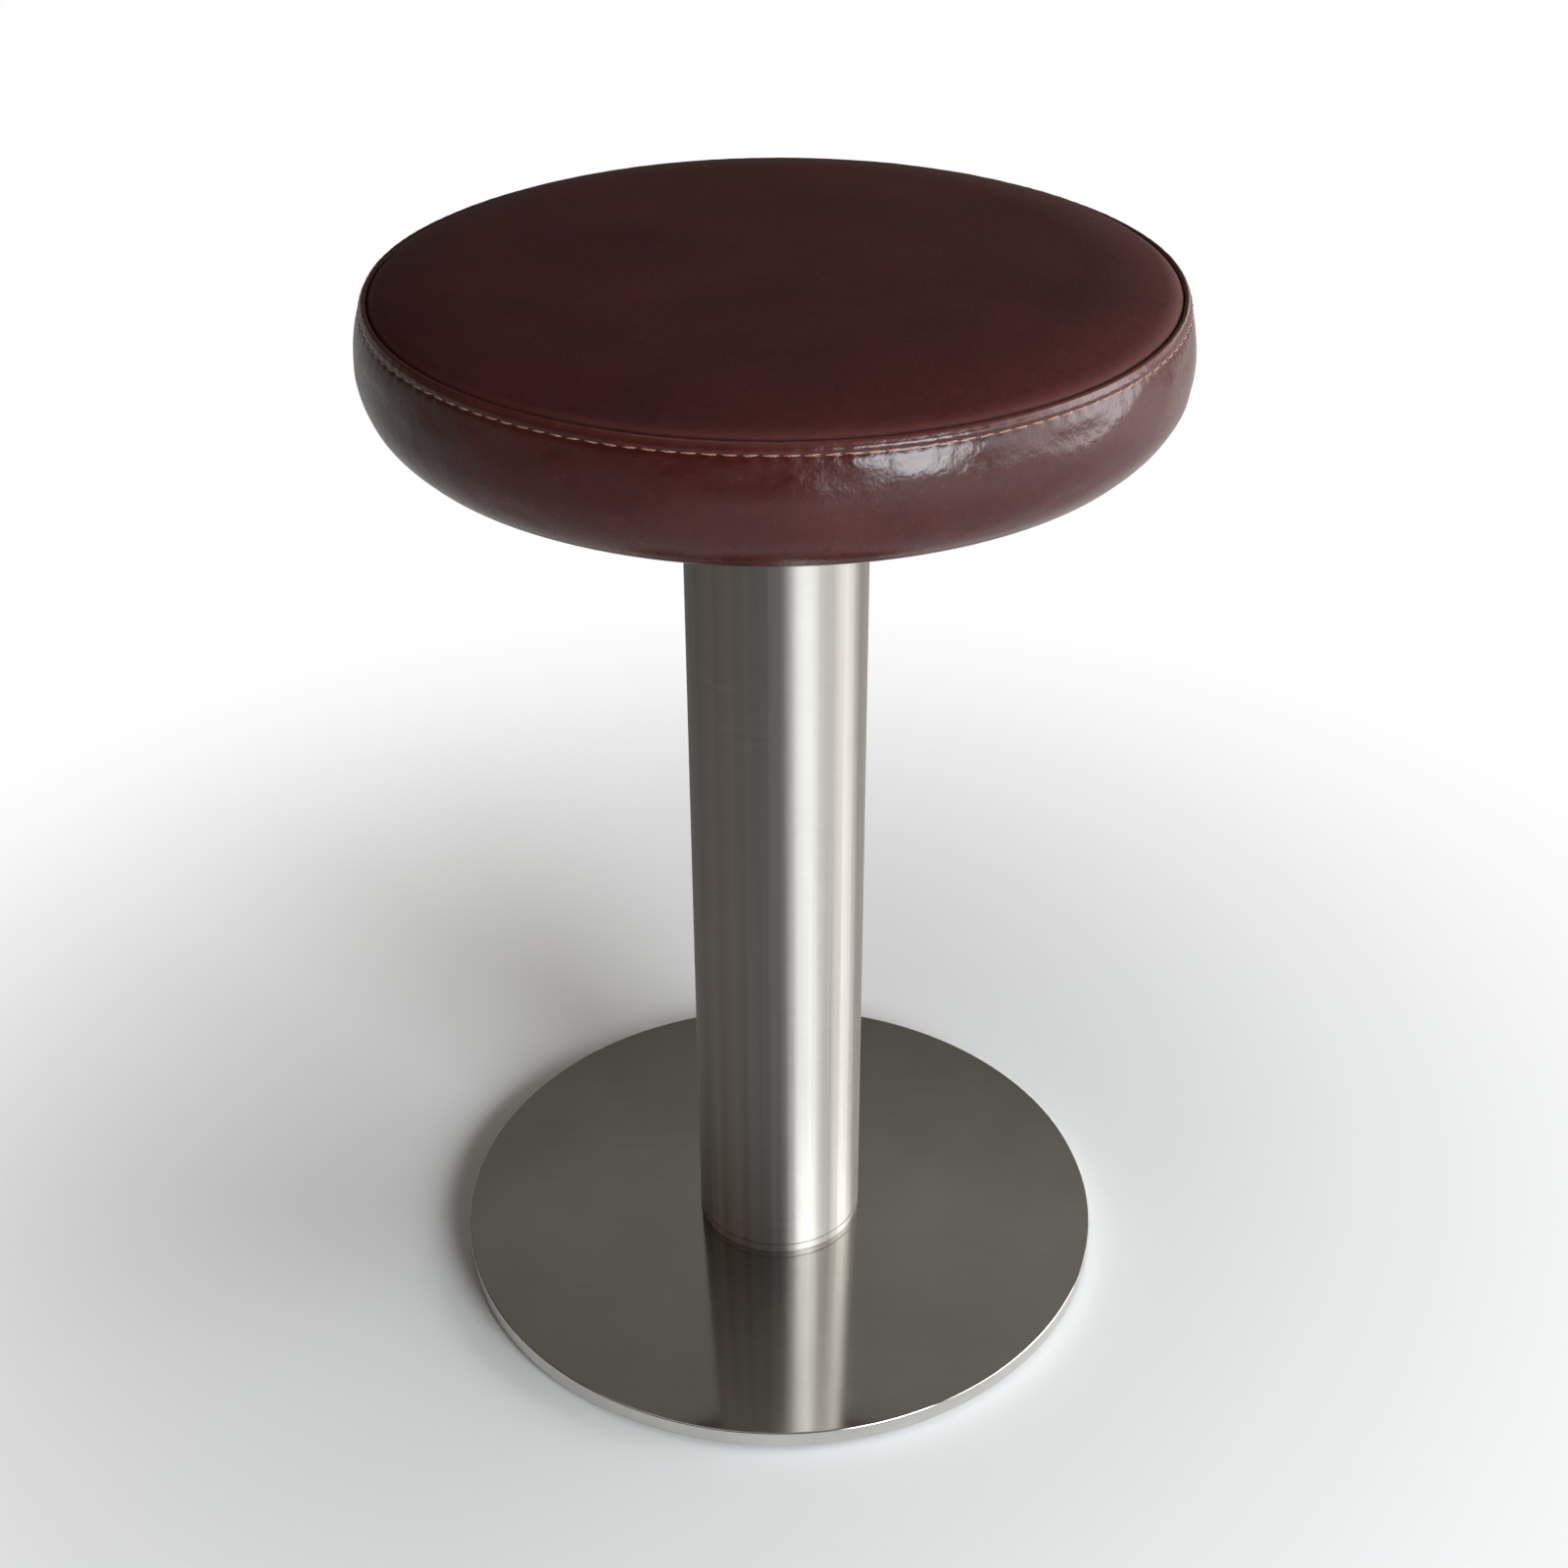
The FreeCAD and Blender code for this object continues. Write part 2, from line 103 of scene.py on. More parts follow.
class Slot(Enum):
    """Material slots of the record."""

    RUBBER = "rubber_pad"
    BASE_STEEL = "base_steel"
    COLUMN_STEEL = "column_steel"
    ZINC = "zinc_steel"
    BEARING_STEEL = "bearing_steel"
    NYLON = "bush_nylon"
    BRASS = "cage_brass"
    BLACK_STEEL = "black_steel"
    PLYWOOD = "plywood"
    FOAM = "foam"
    LEATHER = "leather"
    THREAD = "thread"
    DUST_CLOTH = "dust_cloth"


class Grain(Enum):
    """Which way the brushing runs, as the stretch of its pattern along X, Y and Z."""

    ROUND_COLUMN = (6.0, 6.0, 1400.0)
    ACROSS_PLATE = (5.0, 900.0, 40.0)
    NONE = (300.0, 300.0, 300.0)


class NodeSheet:
    """A node tree, with short calls to add and join its nodes."""

    def __init__(self, tree: Tree) -> None:
        """Take the tree that gets the nodes."""
        self.tree = tree

    def add(self, kind: str, **inputs: object) -> bpy.types.Node:
        """Add a node and fill its inputs.

        Args:
            kind: The node's type name.
            **inputs: Values or sockets, by input name with underscores for spaces.

        Returns:
            The new node.
        """
        node = self.tree.nodes.new(kind)
        for name, value in inputs.items():
            self.feed(node.inputs[name.replace("_", " ")], value)
        return node

    def feed(self, socket: Socket, value: object) -> None:
        """Set a socket to a value, or join it to another socket."""
        if isinstance(value, Socket):
            self.tree.links.new(value, socket)
        else:
            socket.default_value = value

    def calculate(self, operation: str, *values: object) -> Socket:
        """Work out numbers or sockets with one operation."""
        node = self.tree.nodes.new("ShaderNodeMath")
        node.operation = operation
        for socket, value in zip(node.inputs, values):
            self.feed(socket, value)
        return node.outputs[0]

    def sum(self, first: object, second: object, share: float = 1.0) -> Socket:
        """Add a share of the second value to the first."""
        return self.calculate("MULTIPLY_ADD", second, share, first)

    def vector(self, x: object, y: object, z: object) -> Socket:
        """Join three numbers or sockets into a vector."""
        return self.add("ShaderNodeCombineXYZ", X=x, Y=y, Z=z).outputs[0]

    def seen(self, mirrored: float) -> Socket:
        """One for what the camera sees straight or through glass, and a share for what is mirrored."""
        ray = self.add("ShaderNodeLightPath").outputs
        straight = self.sum(ray["Is Camera Ray"], ray["Is Transmission Ray"])
        return self.sum(straight, ray["Is Glossy Ray"], mirrored)

    def mix(self, factor: Socket, first: bpy.types.Node, second: bpy.types.Node) -> Socket:
        """Mix the shaders of two nodes."""
        node = self.add("ShaderNodeMixShader", Fac=factor)
        self.feed(node.inputs[1], first.outputs[0])
        self.feed(node.inputs[2], second.outputs[0])
        return node.outputs[0]


class FinishSheet(NodeSheet):
    """The node tree of a new material, with calls for patterns and the surface."""

    def __init__(self, name: str) -> None:
        """Start an empty material.

        Args:
            name: The material's name.
        """
        self.material = bpy.data.materials.new(name)
        self.material.use_nodes = True
        super().__init__(self.material.node_tree)
        self.shader = self.tree.nodes["Principled BSDF"]
        self.place = self.add("ShaderNodeTexCoord").outputs["Object"]

    def stretched(self, scale: Triple) -> Socket:
        """Object coordinates multiplied along each axis."""
        return self.add("ShaderNodeMapping", Vector=self.place, Scale=scale).outputs["Vector"]

    def speckle(self, vector: Socket, scale: float, detail: float = 3.0) -> Socket:
        """Cloudy noise from zero to one."""
        return self.add("ShaderNodeTexNoise", Vector=vector, Scale=scale, Detail=detail).outputs["Fac"]

    def spread(self, value: Socket, low: float, high: float, start: float = 0.3, end: float = 0.7) -> Socket:
        """Stretch a value between start and end to run from low to high."""
        node = self.add("ShaderNodeMapRange", Value=value, From_Min=start, From_Max=end,
                        To_Min=low, To_Max=high)
        return node.outputs["Result"]

    def blend(self, factor: Socket, first: object, second: object) -> Socket:
        """Mix two colours."""
        node = self.tree.nodes.new("ShaderNodeMix")
        node.data_type = "RGBA"
        colours = [socket for socket in node.inputs if socket.type == "RGBA"]
        self.feed(node.inputs["Factor"], factor)
        for socket, value in zip(colours, (first, second)):
            self.feed(socket, value if isinstance(value, Socket) else (*value, 1.0))
        return next(socket for socket in node.outputs if socket.type == "RGBA")

    def bump(self, height: Socket, depth: float, strength: float = 1.0) -> None:
        """Shade the surface as if it rose and fell by this depth."""
        node = self.add("ShaderNodeBump", Height=height, Distance=depth, Strength=strength)
        self.fix(Normal=node.outputs["Normal"])

    def fix(self, **values: object) -> None:
        """Set or join inputs of the shader, by input name with underscores for spaces."""
        for name, value in values.items():
            self.feed(self.shader.inputs[name.replace("_", " ")], value)


@dataclass(frozen=True)
class Leather:
    """Pull-up leather, with fine pores and cloudy dye. Its patterns are in waves to the metre."""

    name: str = "side_leather"
    smooth: float = 0.21
    dull: float = 0.30
    gloss: float = 0.31
    deep: Colour = (0.029, 0.0047, 0.0035)
    warm: Colour = (0.054, 0.0090, 0.0068)
    rubbed: Colour = (0.078, 0.021, 0.016)
    cloud_waves: float = 17.0
    mottle_waves: float = 260.0
    crease_waves: float = 95.0
    pore_waves: float = 760.0
    grit_waves: float = 1100.0
    crease_share: float = 0.55
    relief: float = 0.12 * MM

    def material(self) -> Material:
        """Build the material."""
        sheet = FinishSheet(self.name)
        clouds = sheet.speckle(sheet.place, self.cloud_waves, 4.0)
        mottle = sheet.speckle(sheet.place, self.mottle_waves, 4.0)
        tone = sheet.spread(sheet.sum(clouds, mottle, 0.45), 0.0, 1.0, 0.45, 1.0)
        dyed = sheet.blend(tone, self.deep, self.warm)
        worn = sheet.add("ShaderNodeAttribute")
        worn.attribute_name = "worn"
        rub = sheet.spread(sheet.sum(worn.outputs["Fac"], mottle, 0.3), 0.0, 0.75, 0.3, 1.25)
        rough = sheet.spread(sheet.sum(mottle, clouds, 0.6), self.smooth, self.dull, 0.5, 1.1)
        sheet.fix(Base_Color=sheet.blend(rub, dyed, self.rubbed), Roughness=rough)
        sheet.fix(Specular_IOR_Level=self.gloss)
        pores = sheet.add("ShaderNodeTexVoronoi", Vector=sheet.place, Scale=self.pore_waves)
        pores.feature = "SMOOTH_F1"
        grit = sheet.speckle(sheet.place, self.grit_waves, 1.0)
        creases = sheet.speckle(sheet.stretched((1.0, 1.0, 0.5)), self.crease_waves, 2.0)
        height = sheet.sum(sheet.sum(pores.outputs["Distance"], grit, 0.35), creases, self.crease_share)
        sheet.bump(height, self.relief, 0.5)
        return sheet.material


@dataclass(frozen=True)
class Steel:
    """Bare steel with a brushed or ground surface."""

    name: str
    colour: Colour
    roughness: float
    grain: Grain = Grain.NONE
    depth: float = 0.01 * MM
    stretch: float = 0.0
    tone_and_reflection_bands: Triple = (22.0, 22.0, 22.0)
    dim: float = 0.88

    def material(self) -> Material:
        """Build the material."""
        sheet = FinishSheet(self.name)
        lines = sheet.speckle(sheet.stretched(self.grain.value), 1.0)
        # Colour darkened in bands by dim: cloudy tone on most steels; on the column, partly polish streaks
        # and partly painted reflections of the room.
        clouds = sheet.speckle(sheet.stretched(self.tone_and_reflection_bands), 1.0)
        dark = tuple(self.dim * part for part in self.colour)
        tone = sheet.spread(sheet.sum(clouds, lines, 0.35), 0.0, 1.0, 0.45, 0.9)
        uneven = sheet.sum(lines, clouds, 0.7)
        rough = sheet.spread(uneven, 0.82 * self.roughness, 1.18 * self.roughness, 0.5, 1.2)
        sheet.fix(Base_Color=sheet.blend(tone, dark, self.colour), Metallic=1.0)
        sheet.fix(Roughness=rough, Anisotropic=self.stretch)
        if self.stretch:
            tangent = sheet.add("ShaderNodeTangent")
            tangent.direction_type = "RADIAL"
            tangent.axis = "Z"
            sheet.fix(Tangent=tangent.outputs["Tangent"], Anisotropic_Rotation=0.25)
        sheet.bump(lines, self.depth, 0.5)
        return sheet.material


@dataclass(frozen=True)
class Plain:
    """A moulded, cast or painted surface with a faint texture."""

    name: str
    colour: Colour
    roughness: float
    texture: float = 500.0
    depth: float = 0.05 * MM
    metal: float = 0.0
    sheen: float = 0.0
    dim: float = 0.8

    def material(self) -> Material:
        """Build the material."""
        sheet = FinishSheet(self.name)
        grit = sheet.speckle(sheet.place, self.texture, 4.0)
        clouds = sheet.speckle(sheet.place, 30.0)
        dark = tuple(self.dim * part for part in self.colour)
        tone = sheet.spread(sheet.sum(grit, clouds, 0.6), 0.0, 1.0, 0.5, 1.1)
        rough = sheet.spread(grit, 0.9 * self.roughness, 1.1 * self.roughness)
        sheet.fix(Base_Color=sheet.blend(tone, dark, self.colour), Metallic=self.metal)
        sheet.fix(Roughness=rough, Sheen_Weight=self.sheen)
        sheet.bump(grit, self.depth)
        return sheet.material


@dataclass(frozen=True)
class Plywood:
    """Birch plywood: long grain on its faces and thin plies at its edge."""

    pale: Colour = (0.56, 0.38, 0.21)
    dark: Colour = (0.33, 0.19, 0.09)

    def material(self) -> Material:
        """Build the material."""
        sheet = FinishSheet("plywood")
        grain = sheet.speckle(sheet.stretched((3.0, 60.0, 60.0)), 1.6, 6.0)
        plies = sheet.speckle(sheet.stretched((0.6, 0.6, 420.0)), 1.0, 1.0)
        tone = sheet.spread(sheet.sum(grain, plies, 0.6), 0.0, 1.0, 0.5, 1.1)
        sheet.fix(Base_Color=sheet.blend(tone, self.dark, self.pale), Roughness=0.62)
        sheet.bump(grain, 0.2 * MM)
        return sheet.material


@dataclass(frozen=True)
class Thread:
    """Waxed thread with its twist, and painted light and shade: its colour turns from a lit to a shaded copy
    along the twist.
    """

    lit: Colour = (0.38, 0.168, 0.092)
    shade: Colour = (0.17, 0.068, 0.043)

    def material(self) -> Material:
        """Build the material."""
        sheet = FinishSheet("waxed_thread")
        along = sheet.stretched((1.0, 1.0, 1.6))
        twist = sheet.add("ShaderNodeTexWave", Vector=along, Scale=420.0, Distortion=1.5)
        twist.bands_direction = "DIAGONAL"
        twist_lay_and_shade = twist.outputs["Fac"]
        # Painted shade between the plies: the twist blends the shaded and the lit colour.
        sheet.fix(Base_Color=sheet.blend(twist_lay_and_shade, self.shade, self.lit), Roughness=0.55, Sheen_Weight=0.25)
        sheet.bump(twist_lay_and_shade, 0.12 * MM)
        return sheet.material


@dataclass(frozen=True)
class DustCloth:
    """Black non-woven cloth, pressed with small dimples."""

    colour: Colour = (0.018, 0.018, 0.019)
    lit: float = 2.4

    def material(self) -> Material:
        """Build the material."""
        sheet = FinishSheet("dust_cloth")
        dimples = sheet.add("ShaderNodeTexVoronoi", Vector=sheet.place, Scale=640.0)
        fibres = sheet.speckle(sheet.place, 900.0, 5.0)
        grey = tuple(self.lit * part for part in self.colour)
        tone = sheet.spread(fibres, 0.0, 1.0)
        sheet.fix(Base_Color=sheet.blend(tone, self.colour, grey), Roughness=0.92, Sheen_Weight=0.15)
        sheet.bump(sheet.sum(dimples.outputs["Distance"], fibres, 0.6), 0.3 * MM)
        return sheet.material


FINISHES = {
    Slot.RUBBER: Plain("black_rubber", (0.03, 0.03, 0.03), 0.75, 420.0, 0.1 * MM),
    Slot.BASE_STEEL: Steel("satin_plate", (0.64, 0.625, 0.598), 0.09, Grain.ACROSS_PLATE, 0.002 * MM),
    # Painted reflection: the column's dark vertical bands are partly polish streaks and partly painted
    # reflections of the room, and its warm tint is partly the steel's own and partly a painted reflection of
    # a brown room.
    Slot.COLUMN_STEEL: Steel("brushed_column", (0.47, 0.446, 0.410), 0.55, Grain.ROUND_COLUMN, 0.001 * MM,
                             stretch=0.98, tone_and_reflection_bands=(190.0, 190.0, 0.8), dim=0.62),
    Slot.ZINC: Steel("zinc_plate", (0.62, 0.63, 0.65), 0.36),
    Slot.BEARING_STEEL: Steel("ground_steel", (0.60, 0.60, 0.60), 0.2),
    Slot.NYLON: Plain("natural_nylon", (0.80, 0.77, 0.68), 0.42),
    Slot.BRASS: Plain("cage_brass", (0.70, 0.50, 0.20), 0.3, metal=1.0),
    Slot.BLACK_STEEL: Plain("black_powder_coat", (0.028, 0.028, 0.03), 0.5, 900.0, 0.2 * MM),
    Slot.PLYWOOD: Plywood(),
    Slot.FOAM: Plain("seat_foam", (0.80, 0.74, 0.52), 0.95, 620.0, 0.6 * MM, sheen=0.1),
    Slot.LEATHER: Leather(),
    Slot.THREAD: Thread(),
    Slot.DUST_CLOTH: DustCloth(),
}
# Painted light: the top's deep and warm colours are the side's made a fifth lighter, so that the top renders
# lighter.
TOP_LEATHER = Leather("top_leather", smooth=0.58, dull=0.68, gloss=0.22,
                      deep=(0.035, 0.0056, 0.0042), warm=(0.065, 0.0108, 0.0082))


class Wardrobe:
    """Makes each finish once and hands it to the pieces."""

    def __init__(self) -> None:
        """Start with no material made."""
        self.made: dict[Slot, Material] = {}

    def get(self, slot: Slot) -> Material:
        """The material of a slot."""
        if slot not in self.made:
            self.made[slot] = FINISHES[slot].material()
        return self.made[slot]

    def dress(self, piece: Piece, slot: Slot, own: Leather | None = None) -> None:
        """Give a piece one material and nothing else: its own finish, or else its slot's."""
        piece.data.materials.clear()
        piece.data.materials.append(own.material() if own else self.get(slot))


def add_object(name: str, data: bpy.types.ID) -> Piece:
    """Put a new object with this data into the scene."""
    piece = bpy.data.objects.new(name, data)
    bpy.context.collection.objects.link(piece)
    return piece


def finished_mesh(piece: Piece) -> bpy.types.Mesh:
    """A new mesh of the piece as its modifiers leave it."""
    graph = bpy.context.evaluated_depsgraph_get()
    return bpy.data.meshes.new_from_object(piece.evaluated_get(graph))


def arc_points(start: Vector, end: Vector, bulge: float, spacing: float) -> Section:
    """Points along an arc, without its start.

    Args:
        start: Where the arc starts, as radius and height.
        end: Where it ends.
        bulge: How far its middle stands out to the right of travel, or zero for a line.
        spacing: The greatest distance between points.

    Returns:
        The points, the last of them at the end.
    """
    chord = end - start
    count = max(1, math.ceil(chord.length / spacing))
    if not bulge:
        return [tuple(start.lerp(end, (i + 1) / count)) for i in range(count)]
    radius = (chord.length_squared / 4 + bulge ** 2) / (2 * bulge)
    right = Vector((chord.y, -chord.x)).normalized()
    centre = (start + end) / 2 + right * (bulge - radius)
    spoke = start - centre
    swing = (end - centre).angle_signed(spoke)
    turns = [Matrix.Rotation(swing * (i + 1) / count, 2) for i in range(count - 1)]
    return [tuple(centre + turn @ spoke) for turn in turns] + [tuple(end)]


def section_of(start: tuple[float, float], steps: Steps, spacing: float) -> Section:
    """Points along a chain of lines and arcs.

    Args:
        start: The first point, as radius and height.
        steps: Corners as radius and height, with a bulge where an arc leads to them.
        spacing: The greatest distance between points.

    Returns:
        The points, the first and last included.
    """
    points: Section = [start]
    for radius, height, *bulge in steps:
        here = Vector(points[-1])
        points += arc_points(here, Vector((radius, height)), bulge[0] if bulge else 0.0, spacing)
    return points


def inset(section: Section, depth: float) -> Section:
    """The section moved to the left of travel, for the inner face of a layer."""
    points = np.array(section)
    run = np.gradient(points, axis=0)
    run /= np.linalg.norm(run, axis=1)[:, None]
    moved = points + depth * np.column_stack([-run[:, 1], run[:, 0]])
    moved[:, 0] = np.maximum(moved[:, 0], 0.0)
    return [tuple(point) for point in moved]


def turned(name: str, section: Section, closed: bool, around: int = AROUND) -> Piece:
    """Sweep a section round the Z axis.

    Args:
        name: The object's name.
        section: Points as radius and height; a point on the axis becomes a pole.
        closed: Whether the last point joins the first.
        around: How many columns the mesh has.

    Returns:
        The object, with its faces outwards and smooth.
    """
    angles = np.arange(around) * FULL_TURN / around
    mesh = bmesh.new()
    rings = []
    for radius, height in section:
        if radius < ON_AXIS:
            rings.append([mesh.verts.new((0, 0, height))])
            continue
        rings.append([mesh.verts.new((radius * math.cos(a), radius * math.sin(a), height)) for a in angles])
    pairs = list(zip(rings, rings[1:])) + ([(rings[-1], rings[0])] if closed else [])
    for low, high in pairs:
        for i in range(around):
            j = (i + 1) % around
            corners = [low[i % len(low)], low[j % len(low)], high[j % len(high)], high[i % len(high)]]
            if len(low) > 1 or len(high) > 1:
                mesh.faces.new(list(dict.fromkeys(corners)))
    bmesh.ops.recalc_face_normals(mesh, faces=mesh.faces)
    data = bpy.data.meshes.new(name)
    mesh.to_mesh(data)
    mesh.free()
    data.shade_smooth()
    return add_object(name, data)


def layer(name: str, outer: Section, depth: float) -> Piece:
    """A turned layer of even thickness behind an outer section, with a coarser inner face."""
    inner = inset(outer, depth)
    inner = inner[:-1:INNER_STEP] + inner[-1:]
    return turned(name, outer + inner[::-1], closed=outer[-1][0] > ON_AXIS)


def crease_sharply(piece: Piece, degrees: float) -> None:
    """Shade the edges that turn more than this as sharp."""
    piece.data.set_sharp_from_angle(angle=math.radians(degrees))


def move_points(piece: Piece, shift: Shift) -> None:
    """Move each point of a piece along its normal.

    Args:
        piece: The object.
        shift: Takes a point's angle, radius and height, and returns how far it moves outwards.
    """
    data = piece.data
    places = [point.co.copy() for point in data.vertices]
    normals = [point.normal.copy() for point in data.vertices]
    for point, place, normal in zip(data.vertices, places, normals):
        radius = math.hypot(place.x, place.y)
        point.co = place + normal * shift(math.atan2(place.y, place.x), radius, place.z)
    data.update()


def fall(distance: float, reach: float) -> float:
    """One at no distance, fading smoothly with it."""
    return math.exp(-(distance / reach) ** 2)


def round_noise(angle: float, waves: float, across: float) -> float:
    """Noise that closes on itself round the axis.

    Args:
        angle: Where round the axis.
        waves: How many waves it has to a radian.
        across: Where across the ring, in waves.

    Returns:
        The noise, from minus one to one.
    """
    return noise.noise(Vector((math.cos(angle) * waves, math.sin(angle) * waves, across)))


@dataclass
class Stuffing:
    """Cloth simulation of the closed cover: how the leather waves between its seams.

    The swell that is the same all round is left out, since the section has it already.
    """

    low: float
    seam_r: float
    seam_z: float
    seam_reach_in: float = 6.0 * MM
    seam_reach_z: float = 4.0 * MM
    around: int = 144
    start_wave: float = 1.2 * MM
    start_length: float = 28.0 * MM
    pressure: float = 4.0
    tightness: float = 0.012
    frames: int = 20
    cap: float = 0.30 * MM
    neighbours: int = 4
    blur: float = 0.2 * MM

    def __post_init__(self) -> None:
        """Start with nothing settled."""
        self.tree: kdtree.KDTree | None = None
        self.moves = np.zeros(0)

    def is_held(self, place: Vector) -> bool:
        """Whether the cover is stapled or sewn here."""
        level = abs(place.z - self.seam_z) < self.seam_reach_z
        outside = math.hypot(place.x, place.y) > self.seam_r - self.seam_reach_in
        return place.z < self.low or (level and outside)

    def settle(self, section: Section) -> None:
        """Run the simulation.

        Args:
            section: Outside of the cover, from its tuck under the board to the crown's middle.
        """
        cover = turned("cover_cloth", [(0.0, section[0][1])] + section, closed=False, around=self.around)
        rest = [point.co.copy() for point in cover.data.vertices]
        normals = [point.normal.copy() for point in cover.data.vertices]
        held = [self.is_held(place) for place in rest]
        cover.vertex_groups.new(name="held").add([i for i, fast in enumerate(held) if fast], 1.0, "REPLACE")
        for point, fast, place, normal in zip(cover.data.vertices, held, rest, normals):
            if not fast:
                point.co = place + normal * self.start_wave * noise.noise(place / self.start_length)
        self.add_cloth(cover)
        scene = bpy.context.scene
        for frame in range(1, self.frames + 1):
            scene.frame_set(frame)
        found = cover.evaluated_get(bpy.context.evaluated_depsgraph_get()).data.vertices
        moves = [(point.co - place).dot(normal) for point, place, normal in zip(found, rest, normals)]
        grid = np.array(moves[1:-1]).reshape(-1, self.around)
        grid -= grid.mean(axis=1, keepdims=True)
        self.moves = self.cap * np.tanh(grid.ravel() / self.cap)
        self.tree = kdtree.KDTree(len(self.moves))
        for i, place in enumerate(rest[1:-1]):
            self.tree.insert(place, i)
        self.tree.balance()
        scene.frame_set(1)
        bpy.data.objects.remove(cover)
        LOG.info("stuffing: %.2f mm at most", 1000 * float(np.abs(self.moves).max()))

    def add_cloth(self, cover: Piece) -> None:
        """Give the cover its cloth settings."""
        cloth = cover.modifiers.new("stuffing", "CLOTH")
        cloth.settings.quality = 6
        cloth.settings.mass = 0.4
        cloth.settings.tension_stiffness = 40.0
        cloth.settings.compression_stiffness = 40.0
        cloth.settings.bending_stiffness = 4.0
        cloth.settings.shrink_min = self.tightness
        cloth.settings.use_pressure = True
        cloth.settings.uniform_pressure_force = self.pressure
        cloth.settings.vertex_group_mass = "held"
        cloth.settings.effector_weights.gravity = 0.0
        cloth.collision_settings.use_collision = False
        cloth.point_cache.frame_start = 1
        cloth.point_cache.frame_end = self.frames

    def shift(self, angle: float, radius: float, height: float) -> float:
        """How far the leather stands out at a place, or zero before anything settled."""
        if self.tree is None:
            return 0.0
        place = Vector((radius * math.cos(angle), radius * math.sin(angle), height))
        near = self.tree.find_n(place, self.neighbours)
        weights = [1.0 / (distance + self.blur) for _, _, distance in near]
        moved = sum(weight * self.moves[index] for weight, (_, index, _) in zip(weights, near))
        return moved / sum(weights)


@dataclass
class SeatSizes:
    """Sizes of the cushion, in metres, beyond the board's rim or above its underside."""

    board_r: float
    board_z: float
    board_top_z: float
    leather: float = 1.1 * MM
    side_swell: float = 15.8 * MM
    swell_up: float = 24.0 * MM
    seam_out: float = 9.2 * MM
    seam_up: float = 48.8 * MM
    hem_out: float = 5.8 * MM
    hem_up: float = 2.4 * MM
    hem_in: float = 2.0 * MM
    tuck_width: float = 25.0 * MM
    stitch_down: float = 4.1 * MM
    stitch_out: float = 12.7 * MM
    lip_fill: float = 0.4 * MM
    allowance: float = 8.0 * MM
    seam_gap: float = 0.3 * MM
    groove_depth: float = 0.6 * MM
    shoulder_in: float = 4.3 * MM
    shoulder_up: float = 3.2 * MM
    slope_in: float = 32.0 * MM
    slope_up: float = 4.6 * MM
    crown_up: float = 1.9 * MM
    ease_in: float = 3.2 * MM
    ease_up: float = 0.7 * MM
    stitches: int = 147

    @property
    def seam_r(self) -> float:
        """Radius of the groove between the side and the top."""
        return self.board_r + self.seam_out

    @property
    def seam_z(self) -> float:
        """Height of the side's folded edge."""
        return self.board_z + self.seam_up

    @property
    def stitch_r(self) -> float:
        """Radius of the topstitch."""
        return self.board_r + self.stitch_out

    @property
    def stitch_z(self) -> float:
        """Height of the topstitch."""
        return self.seam_z - self.stitch_down

    @property
    def rim(self) -> tuple[float, float]:
        """Radius and height of the top's rim in the groove."""
        return self.seam_r - self.seam_gap, self.seam_z - self.groove_depth

    @property
    def tuck(self) -> tuple[float, float]:
        """Radius and height of the leather's end under the board."""
        return self.board_r - self.tuck_width, self.board_z - self.leather


@dataclass(frozen=True)
class Waves:
    """Heights of the leather's small waves, how far each one reaches and how close they follow."""

    pull: float = 0.42 * MM
    pull_reach: float = 1.1 * MM
    pull_change: float = 0.25
    gather: float = 0.08 * MM
    gather_reach: float = 3.2 * MM
    fold: float = 0.15 * MM
    fold_reach: float = 8.0 * MM
    folds: float = 46.0
    fold_length: float = 1.0 / 60.0
    drift: float = 0.06 * MM
    drift_reach: float = 20.0 * MM
    drift_length: float = 17.0 * MM
    still_lip_share: float = 0.6
    side: float = 0.38 * MM
    side_fade: float = 12.0 * MM
    side_middle: float = 25.0 * MM
    side_reach: float = 22.0 * MM
    side_length: float = 55.0 * MM
    side_parts: tuple[tuple[float, float], ...] = ((1.0, 2.6), (0.5, 5.98))
    top: float = 0.42 * MM
    top_fade: float = 25.0 * MM
    top_length: float = 70.0 * MM
    top_settled_share: float = 0.4
    rim: float = 0.10 * MM
    rim_fade: float = 3.0 * MM
    rim_inset: float = 6.0 * MM
    rim_reach: float = 12.0 * MM
    rim_folds: float = 26.0
    rim_length: float = 30.0 * MM


